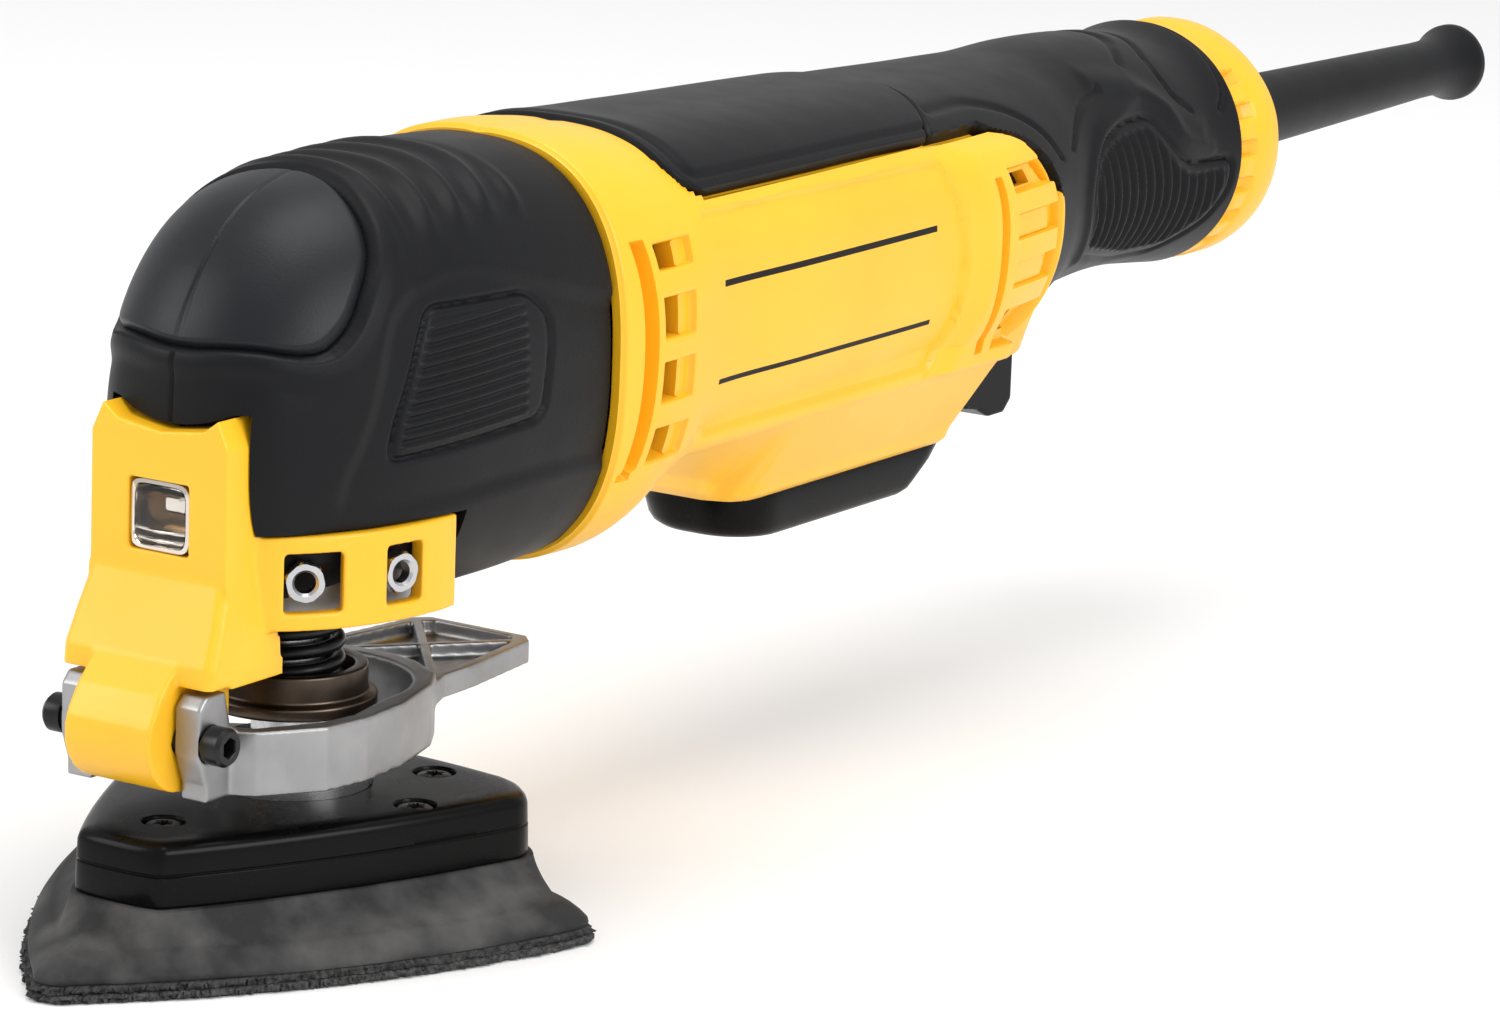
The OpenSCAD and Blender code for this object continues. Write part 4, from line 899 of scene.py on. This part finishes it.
r_rows = np.r_[np.linspace(0, 0.02, 5, endpoint=False), np.linspace(0.02, 0.985, 230, endpoint=False),
               np.linspace(0.985, 1, 6)]
r_angles = around(320)
lowness = ease(-0.75, 0.25, -np.sin(r_angles))
rim_x = 27 * np.sign(np.cos(r_angles)) * np.abs(np.cos(r_angles)) ** 0.75
edge_line = (seam_y(rim_x) + 0.25) * (1 - lowness) + SLEEVE_LOW_Y * lowness
S, A = np.meshgrid(r_rows, r_angles, indexing="ij")
for _ in range(3):
    Y = edge_line[None] + S * (CAP_Y - edge_line[None])
    front_x = body_point(edge_line, r_angles)[:, 0]
    edge_line = (seam_y(front_x) + 0.25) * (1 - lowness) + SLEEVE_LOW_Y * lowness
rear_skin = body_point(Y, A)
rear_n = grid_normals(rear_skin, True, (100, 0), 0)
relief = rear_relief(rear_skin)
front_roll = -0.8 * (1 - ease(0, 0.9, Y - edge_line[None])) * (rear_skin[..., 2] > 106)
rear_outer = rear_skin + rear_n * (relief + front_roll)[..., None]
rear_inner = []
for y in np.linspace(CAP_Y, 186, 20):
    ring = body_point(np.full(r_angles.shape, y), r_angles)
    rear_inner.append((ring - [0, 0, 89.6]) * [0.84, 1, 0.85] + [0, 0, 89.6])
last = (rear_outer[0] - [0, 0, 88]) * [0.84, 1, 0.85] + [0, 0, 88]
rows = np.concatenate([rear_outer, np.array(rear_inner), last[None]])
piece("rear_grip_sleeve", *ring_mesh(rows, cyclic_rows=True), "rear_grip", sharp=60)

# ---- end cap and cord guard ----------------------------------------------------------------

CAP_Z, CAP_R, CAP_END, GUARD_END = 89.6, 22.9, 273.0, 385.0
CAP_SIDES = 360


def notched(radius, depth):
    """A rim radius with a row of short notches down each flank."""
    angle = around(CAP_SIDES)
    out = np.full(angle.shape, radius)
    for centre_deg in list(range(-52, 40, 18)) + [180 - k for k in range(-52, 40, 18)]:
        gap = np.abs((np.degrees(angle) - centre_deg + 180) % 360 - 180)
        out = out - depth * (1 - ease(3.0, 4.4, gap))
    return out - 1.3 * ease(0.2, 1.0, np.sin(angle))


cap_rim = [(20.2, CAP_Y + 0.3)]
for r, depth, y in ((22.0, 1.7, CAP_Y + 0.35), (22.4, 1.9, CAP_Y + 0.9), (22.5, 1.9, CAP_Y + 3.2),
                    (22.5, 1.2, CAP_Y + 4.6), (22.5, 0, CAP_Y + 5.4), (CAP_R, 0, CAP_Y + 6.0),
                    (CAP_R, 0, CAP_END - 4.5), (CAP_R - 0.35, 0, CAP_END - 2.6),
                    (CAP_R - 1.3, 0, CAP_END - 1.1), (CAP_R - 2.8, 0, CAP_END - 0.25),
                    (CAP_R - 4.5, 0, CAP_END)):
    cap_rim.append((notched(r, depth), y))
cap_rim += [(12, CAP_END), (8.6, CAP_END - 0.2), (7.8, CAP_END - 1.0), (7.7, CAP_END - 6),
            (20.2, CAP_END - 6)]
piece("end_cap_ring", *lathe(cap_rim, CAP_SIDES, "y", (0, 0, CAP_Z)), "end_cap", sharp=40)

guard = [(3.6, 262.3), (12, 262.3), (12, 266.8), (7.4, 266.8), (7.4, CAP_END - 1), (7.7, CAP_END + 0.6),
         (7.5, CAP_END + 2.0), (7.3, 285), (6.9, 305), (6.4, 330), (5.9, 355), (5.6, 368), (5.6, 373),
         (5.8, 376), (6.3, 379), (7.1, 381.6), (7.5, 382.6), (7.6, 383.2), (7.6, 384.4), (7.3, GUARD_END),
         (4.6, GUARD_END), (4.0, 384.4), (3.6, 383.4)]
piece("cord_guard_sleeve", *lathe(guard, 72, "y", (0, 0, CAP_Z)), "cord_guard", sharp=50)

# ---- bracket, nuts and worklight ------------------------------------------------------------

# the column leans forward at its foot and runs on into the knuckle
foot = []
for z, half, y in ((62, 12.6, -33.4), (60, 12.9, -33.8), (54, 13.8, -36.2), (48.4, 14.3, -38.5),
                   (45.3, 14.3, -38.8)):
    foot.append([(-half, -31, z), (-half, y + 1.2, z), (-half + 1.2, y, z), (half - 1.2, y, z),
                 (half, y + 1.2, z), (half, -31, z)])
web = [[(x, -33.0, 49), (x, -38.5, 48.5), (x, -42.4, 44.2), (x, -44.9, 39.5), (x, -37, 36), (x, -32, 41)]
       for x in np.linspace(-7.9, 7.9, 9)]
moulded("light_bracket", "front_bracket", "housing", 0.36, 3,
        extra=[ring_mesh(foot), ring_mesh(web)])


def nut(radius, length, hole, start, normal):
    """A hexagon nut with a round bore, pointing along normal."""
    turn = Vector((0, 0, 1)).rotation_difference(Vector(normal).normalized()).to_matrix()
    flat = hexagon(radius, around(48))
    verts, faces = lathe([(flat - 0.35, 0.0), (flat, 0.35), (flat, length - 0.35),
                          (np.minimum(flat, radius * 0.9), length), (hole + 0.4, length),
                          (hole, length - 0.4), (hole, 0.0)], 48)
    return verts @ np.array(turn).T + np.array(start), faces


nut_meshes = []
for sign in (1, -1):
    for deg, shift in ((-43, -1.2), (-14, -0.2)):
        c, s = math.cos(math.radians(deg)), math.sin(math.radians(deg))
        at = np.array([(NECK_W + 0.45) * c - shift * s, NECK_Y + (NECK_L + 0.45) * s + shift * c, 59.25])
        nut_meshes.append(nut(3.3, 2.2, 1.65, at * [sign, 1, 1], (sign * c, s, 0)))
piece("guide_nut_set", *stack(nut_meshes), "guide_nuts", sharp=30)

FRONT_Y, WIN_Z, WIN_W, WIN_H = -33.6, 69.0, 5.7, 5.5


def window_ring(half_w, half_h, y):
    """A ring of the worklight window's rounded square."""
    x, z = oval(around(48), half_w, half_h, 6.0)
    return np.stack([x, np.full(len(x), y), WIN_Z + z], 1)


def window_rings(*levels):
    """Rings inset from the window's edge: levels are (inset, depth behind its face)."""
    return [window_ring(WIN_W - inset, WIN_H - inset, FRONT_Y + depth) for inset, depth in levels]


rim = window_rings((0.15, 0.5), (0.7, 0.35), (1.0, 0.8), (1.3, 3.6), (0.15, 3.8))
bars = [tube([(-4.6, FRONT_Y + 1.9, z), (-4.1, FRONT_Y + 1.2, z), (0, FRONT_Y + 0.9, z - 0.1),
              (4.1, FRONT_Y + 1.2, z), (4.6, FRONT_Y + 1.9, z)], 0.38) for z in (WIN_Z - 2.3, WIN_Z - 3.7)]
piece("reflector_rim", *stack([ring_mesh(rim, cyclic_rows=True)] + bars), "light_module", sharp=35)
bowl = [window_ring(0.3, 0.3, FRONT_Y + 4.3), window_ring(2.4, 2.2, FRONT_Y + 4.2),
        *window_rings((2.0, 3.2), (1.35, 1.4), (1.1, 1.4), (1.1, 4.9)), window_ring(0.3, 0.3, FRONT_Y + 4.9)]
piece("reflector_bowl", *ring_mesh(bowl), slot="chrome", finish=[smoked], sharp=35)
LED_X, LED_RISE = 1.0, 1.6
chip = [window_ring(1.7 * k, 1.3 * k, FRONT_Y + depth) + [LED_X, 0, LED_RISE]
        for k, depth in ((1.0, 4.2), (1.0, 2.6), (0.7, 2.2), (0.2, 2.2))]
piece("worklight_led", *ring_mesh(chip), slot="chrome", sharp=30)
piece("worklight_lens", *ring_mesh(window_rings((1.1, 0.55), (1.0, 0.6), (1.0, 0.75))), "light_lens",
      sharp=30)

# ---- clamp lever, collar and spring ---------------------------------------------------------

moulded("squeeze_lever", "clamp_lever", "lever", 0.36, 4)

HINGE_Y, HINGE_Z, LUG_OUT = -37.0, 37.0, 13.2


def cap_screw(head_r, head_l, shank_r, shank_l, socket_r):
    """A socket-head screw along +X, its head outwards from x = 0."""
    hexed = hexagon(socket_r, around(48))
    return lathe([(shank_r - 0.3, -shank_l), (shank_r, -shank_l + 0.4), (shank_r, 0), (head_r - 0.1, 0),
                  (head_r, 0.3), (head_r, head_l - 0.6), (head_r - 0.5, head_l), (hexed + 0.15, head_l),
                  (hexed, head_l - 0.25), (hexed, head_l - 2.2), (hexed * 0.3, head_l - 2.6)],
                 48, "x", closed=False)


screws = [placed(cap_screw(3.0, 3.4, 2.5, 12.0, 1.6), [sign, 1, 1],
                 [sign * (LUG_OUT + 0.25), HINGE_Y, HINGE_Z]) for sign in (1, -1)]
piece("hinge_screw_pair", *stack(screws), "hinge_screws", sharp=35)

COLLAR_LOW, COLLAR_RIM, SPINDLE_R, CASE_LOW = 34.0, 40.6, 6.0, 52.6
collar = filleted([(SPINDLE_R + 0.1, COLLAR_LOW), (13.5, COLLAR_LOW), (13.5, COLLAR_LOW + 2.0),
                   (12.0, COLLAR_LOW + 2.3), (12.0, COLLAR_RIM), (9.9, COLLAR_RIM),
                   (9.9, COLLAR_LOW + 2.6), (SPINDLE_R + 0.1, COLLAR_LOW + 2.6)], 0.45, 3)
piece("collar_cup", *lathe(collar, 96), "clamp_collar", "collar", sharp=35)

WIRE_R, COLLAR_TRAVEL = 1.1, 4.52
COIL_LOW, COIL_HIGH = COLLAR_LOW + 2.7, CASE_LOW - 0.1
spring = piece("clamp_coil", *coil(SPINDLE_R + 0.25 + WIRE_R, WIRE_R, COIL_LOW, COIL_HIGH, 14),
               "clamp_spring", sharp=60)
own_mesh(spring)

# ---- sanding pad ----------------------------------------------------------------------------


def delta(half_w, tip_y, rear_y, tip_half_w, bow, corner, steps=10):
    """A delta outline with bowed sides and cut corners."""
    side = []
    for i in range(steps + 1):
        t = i / steps
        out = bow * 4 * t * (1 - t)
        side.append((tip_half_w + (half_w - tip_half_w) * t + out * 0.87,
                     tip_y + corner / 2 + (rear_y - corner * 1.5 - tip_y) * t - out * 0.5))
    rear_pts = [((half_w - corner) * (1 - 2 * i / steps), rear_y + bow * 4 * (i / steps) * (1 - i / steps))
                for i in range(steps + 1)]
    left = [(-x, y) for x, y in side[::-1]]
    pts = [(tip_half_w - corner / 3, tip_y)] + side + rear_pts + left + [(-tip_half_w + corner / 3, tip_y)]
    return np.array(pts)


def outline(kind, grow, count):
    """The pad's or the block's outline, grown outwards, starting from its tip."""
    if kind == "pad":
        pts = delta(46.5 + grow, -60 - grow, 20.5 + grow * 0.6, 3.4 + grow * 0.5, 6, 3)
    else:
        pts = delta(34 + grow, -43 - grow, 23.5 + grow * 0.6, 9.5 + grow * 0.6, 2.4, 6)
    pts = rounded(pts, 3)
    pts = resample(pts, count * 4)
    start_at = int(np.argmin(np.hypot(pts[:, 0], pts[:, 1] - pts[:, 1].min())))
    return resample(np.roll(pts, -start_at, 0), count)


def layer(pts, z):
    """An outline at height z."""
    return np.column_stack([pts, np.broadcast_to(z, len(pts))])


COUNT = 420
rows = []
for z, grow in ((2.45, -1.6), (2.5, -1.0), (2.9, -0.75), (3.6, -0.9), (4.6, -1.8), (5.6, -3.0), (6.1, -3.8),
                (6.35, -4.3), (6.5, -4.9)):
    rows.append(layer(outline("pad", grow, COUNT), z))
for t in np.linspace(0.04, 1, 12):
    k = 1 - (1 - t) ** 1.35
    low_line, high_line = outline("pad", -5.2, COUNT), outline("block", 0.7, COUNT)
    rows.append(layer(low_line * (1 - k) + high_line * k, 6.5 + 4.8 * t))
rows.append(layer(outline("block", 0.2, COUNT), 11.45))
rows.append(layer(outline("block", -2, COUNT), 11.48))
piece("flared_pad", *ring_mesh(rows), "pad_rubber", "spindle", sharp=50)

BLOCK_TOP = 21.5
rows = []
for z, grow in ((11.55, -0.8), (11.6, -0.2), (12.0, 0.0), (16.2, -0.1), (16.45, -0.4), (16.6, -0.4),
                (16.85, -0.15), (19.6, -0.25), (20.4, -0.5), (21.0, -1.0), (21.35, -1.8), (21.5, -2.9),
                (21.5, -5.5)):
    rows.append(layer(outline("block", grow, COUNT), z))
SCREWS = [(23.5, 1), (-23.5, 1), (14.8, 18), (-14.8, 18), (0, -31)]
block = piece("pad_block_shell", *ring_mesh(rows), "pad_block", "spindle", sharp=40)
socket = [(3.3, BLOCK_TOP - 1.9), (3.3, BLOCK_TOP - 0.3), (3.8, BLOCK_TOP + 0.4)]
sockets = [lathe(socket, 40, at=(sx, sy, 0), closed=False) for sx, sy in SCREWS]
sockets.append(lathe([(13.15, BLOCK_TOP - 0.3), (13.15, BLOCK_TOP + 1)], 72, closed=False))
cut(block, *stack(sockets), sharp=40)

star = 1.35 + 0.28 * np.cos(6 * around(48))
head = [(2.7, 1.85), (3.0, 1.7), (3.0, 0.9), (2.7, 0.45), (2.1, 0.25), (star + 0.1, 0.22), (star, 0.4),
        (star * 0.95, 1.4)]
heads = [lathe([(r, BLOCK_TOP - dip) for r, dip in head], 48, at=(sx, sy, 0), closed=False)
         for sx, sy in SCREWS]
piece("pad_screw_heads", *stack(heads), "pad_screws", "spindle", sharp=35)


def ragged(pts, amount):
    """An outline with a torn, fibrous edge."""
    wobble = rng.normal(0, 1, len(pts))
    coarse_at = np.arange(0, len(pts), 7)
    coarse = np.interp(np.arange(len(pts)), coarse_at, rng.normal(0, 1, len(coarse_at)))
    scale = 1 + (wobble * amount + coarse * amount * 0.8)[:, None] / 45
    return pts * scale


FINE = 900
rows = [layer(ragged(outline("pad", g, FINE), a), z) for z, g, a in
        ((1.25, -0.9, 0), (1.3, -0.5, 0.25), (1.8, -0.4, 0.3), (2.2, -0.6, 0.25), (2.4, -1.0, 0.05))]
piece("hook_pile", *ring_mesh(rows), "hook_layer", "spindle", sharp=60)
rows = [layer(outline("pad", -0.8, FINE), 0.0)]
for z, grow, torn in ((0.02, -0.2, 0.2), (0.35, 0.0, 0.32), (0.85, -0.1, 0.3), (1.15, -0.4, 0.15)):
    rows.append(layer(ragged(outline("pad", grow, FINE), torn), z))
rows.append(layer(outline("pad", -0.9, FINE), 1.2))
piece("abrasive_sheet", *ring_mesh(rows), "sanding_sheet", "spindle", sharp=60)

# ---- trigger and lock -----------------------------------------------------------------------


def round_box(half, y0, y1, front_r, rear_r, count=96):
    """A rectangle in plan with its own corner radius at each end."""
    pts = []
    for cx, cy, r, a0 in ((half - rear_r, y1 - rear_r, rear_r, 0), (-half + rear_r, y1 - rear_r, rear_r, 90),
                          (-half + front_r, y0 + front_r, front_r, 180),
                          (half - front_r, y0 + front_r, front_r, 270)):
        for deg in np.linspace(a0, a0 + 90, 13):
            pts.append((cx + r * math.cos(math.radians(deg)), cy + r * math.sin(math.radians(deg))))
    return resample(np.array(pts), count)


def paddle(half, y0, y1, levels, front_r, rear_r):
    """Rounded boxes stacked in z: levels are (z, inset across, inset front, inset rear)."""
    rows = []
    for z, side, front, rear in levels:
        h = half - side
        pts = round_box(h, y0 + front, y1 - rear, min(front_r, h - 0.1), min(rear_r, h - 0.1))
        rows.append(layer(pts, float(z)))
    return ring_mesh(rows)


trigger = paddle(12.4, 108.5, 173.6, [(40.4, 4.0, 6.0, 13.0), (40.45, 2.8, 4.4, 11.8), (40.8, 1.6, 3.0, 10.4),
                                      (41.6, 0.8, 2.0, 9.2), (42.8, 0.4, 1.3, 8.0), (46.0, 0, 0.3, 3.8),
                                      (49.4, 0, 0.1, 0.2), (49.8, 0.3, 0.4, 0.5), (49.8, 2, 3, 3)], 9, 4)
hinge_eye = lathe([(1.56, -9), (3.6, -9), (3.6, 9), (1.56, 9)], 48, "x", (0, 114, 53))
block_eye = paddle(9, 110.4, 117.6, [(47, 0, 0, 0), (51.2, 0, 0, 0)], 0.5, 0.5)
finger = paddle(4, 148, 158, [(47, 0, 0, 0), (53.6, 0, 0, 0), (54, 0.4, 0.4, 0.4)], 0.5, 0.5)
piece("trigger_paddle", *stack([trigger, hinge_eye, block_eye, finger]), "trigger", "trigger", sharp=40)


RETURN_LOW, RETURN_HIGH, RETURN_DIP = 49.95, 58.5, 1.05
return_spring = piece("trigger_return_coil", *coil(3, 0.5, RETURN_LOW, RETURN_HIGH, 12, 130),
                      "trigger_spring", sharp=60)
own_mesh(return_spring)

moulded("lock_lever", "lock_button", "lock_button", 0.3, 5)
boss = paddle(13, 171, 205, [(58.9, 4.6, 2.4, 1.4), (59.0, 4.2, 1.8, 0.8), (59.6, 3.8, 1.2, 0.2),
                             (64, 2.4, 0.6, 0), (70, 0, 0, 0), (71.5, 0, 0, 0)], 4, 4)
guard_piece = piece("lock_guard", *boss, slot="yellow_plastic")
cut(guard_piece, *paddle(3.35, 187.7, 199.3, [(55, 0, 0, 0), (66, 0, 0, 0)], 0.5, 0.5))

bolts = [placed(cap_screw(2.8, 2.4, 1.5, 2 * half - 1.2, 1.4), [-1, 1, 1], [0.2 - half, y, z])
         for y, z, half in ((79, 60.6, 16), (168, 64.4, 14), (198, 96, 15), (228, 83, 12))]
piece("casing_screw_set", *stack(bolts), "housing_screws", sharp=35)

# ---- stage, light and camera ----------------------------------------------------------------

plane = bpy.data.meshes.new("floor")
FLOOR_HALF, FLOOR_Z = 6, -0.0002
corners = [(x * FLOOR_HALF, y * FLOOR_HALF, FLOOR_Z) for x, y in ((-1, -1), (1, -1), (1, 1), (-1, 1))]
plane.from_pydata(corners, [], [(0, 1, 2, 3)])
plane.materials.append(material("pale_floor", (0.86, 0.86, 0.86), 0.7, second=(0.85, 0.85, 0.85), mottle=2,
                                rough_span=0.02))
floor = bpy.data.objects.new("floor", plane)
bpy.context.scene.collection.objects.link(floor)

scene = bpy.context.scene
world = bpy.data.worlds.new("soft_white")
world.use_nodes = True
world.node_tree.nodes["Background"].inputs["Color"].default_value = (1.0, 1.0, 1.0, 1)
world.node_tree.nodes["Background"].inputs["Strength"].default_value = 0.75
scene.world = world
scene.view_settings.view_transform = "Standard"


def softbox(name, at, size, power, aim=(0, 0.12, 0.08)):
    """A rectangular lamp at a place in metres, turned to aim."""
    data = bpy.data.lights.new(name, "AREA")
    data.shape = "RECTANGLE"
    data.size, data.size_y = size
    data.energy = power
    lamp = bpy.data.objects.new(name, data)
    lamp.location = at
    lamp.rotation_euler = (Vector(aim) - Vector(at)).to_track_quat("-Z", "Y").to_euler()
    scene.collection.objects.link(lamp)


softbox("top_box", (0.1, 0.1, 1.3), (0.9, 0.9), 9)
softbox("front_left_box", (-0.9, -0.9, 0.8), (0.7, 0.7), 7)
softbox("right_box", (1.3, -0.1, 0.7), (0.8, 0.5), 9)

EYE = np.array([575.70, -767.91, 288.74])
RIGHT = np.array([0.8367, 0.5466, 0.0353])
UP = np.array([-0.1524, 0.1704, 0.9735])
FORWARD = np.array([-0.5261, 0.8199, -0.2259])
FOCAL_PX, WIDTH_PX, SENSOR_MM = 6420.5, 1500, 36.0
lens = bpy.data.cameras.new("camera")
lens.sensor_width = SENSOR_MM
lens.sensor_fit = "HORIZONTAL"
lens.lens = FOCAL_PX / WIDTH_PX * SENSOR_MM
lens.clip_start, lens.clip_end = 0.05, 20
camera = bpy.data.objects.new("camera", lens)
turn = Matrix([[RIGHT[k], UP[k], -FORWARD[k]] for k in range(3)]).to_quaternion().to_matrix()
camera.matrix_world = Matrix.Translation(Vector(EYE * MM)) @ turn.to_4x4()
scene.collection.objects.link(camera)
scene.camera = camera
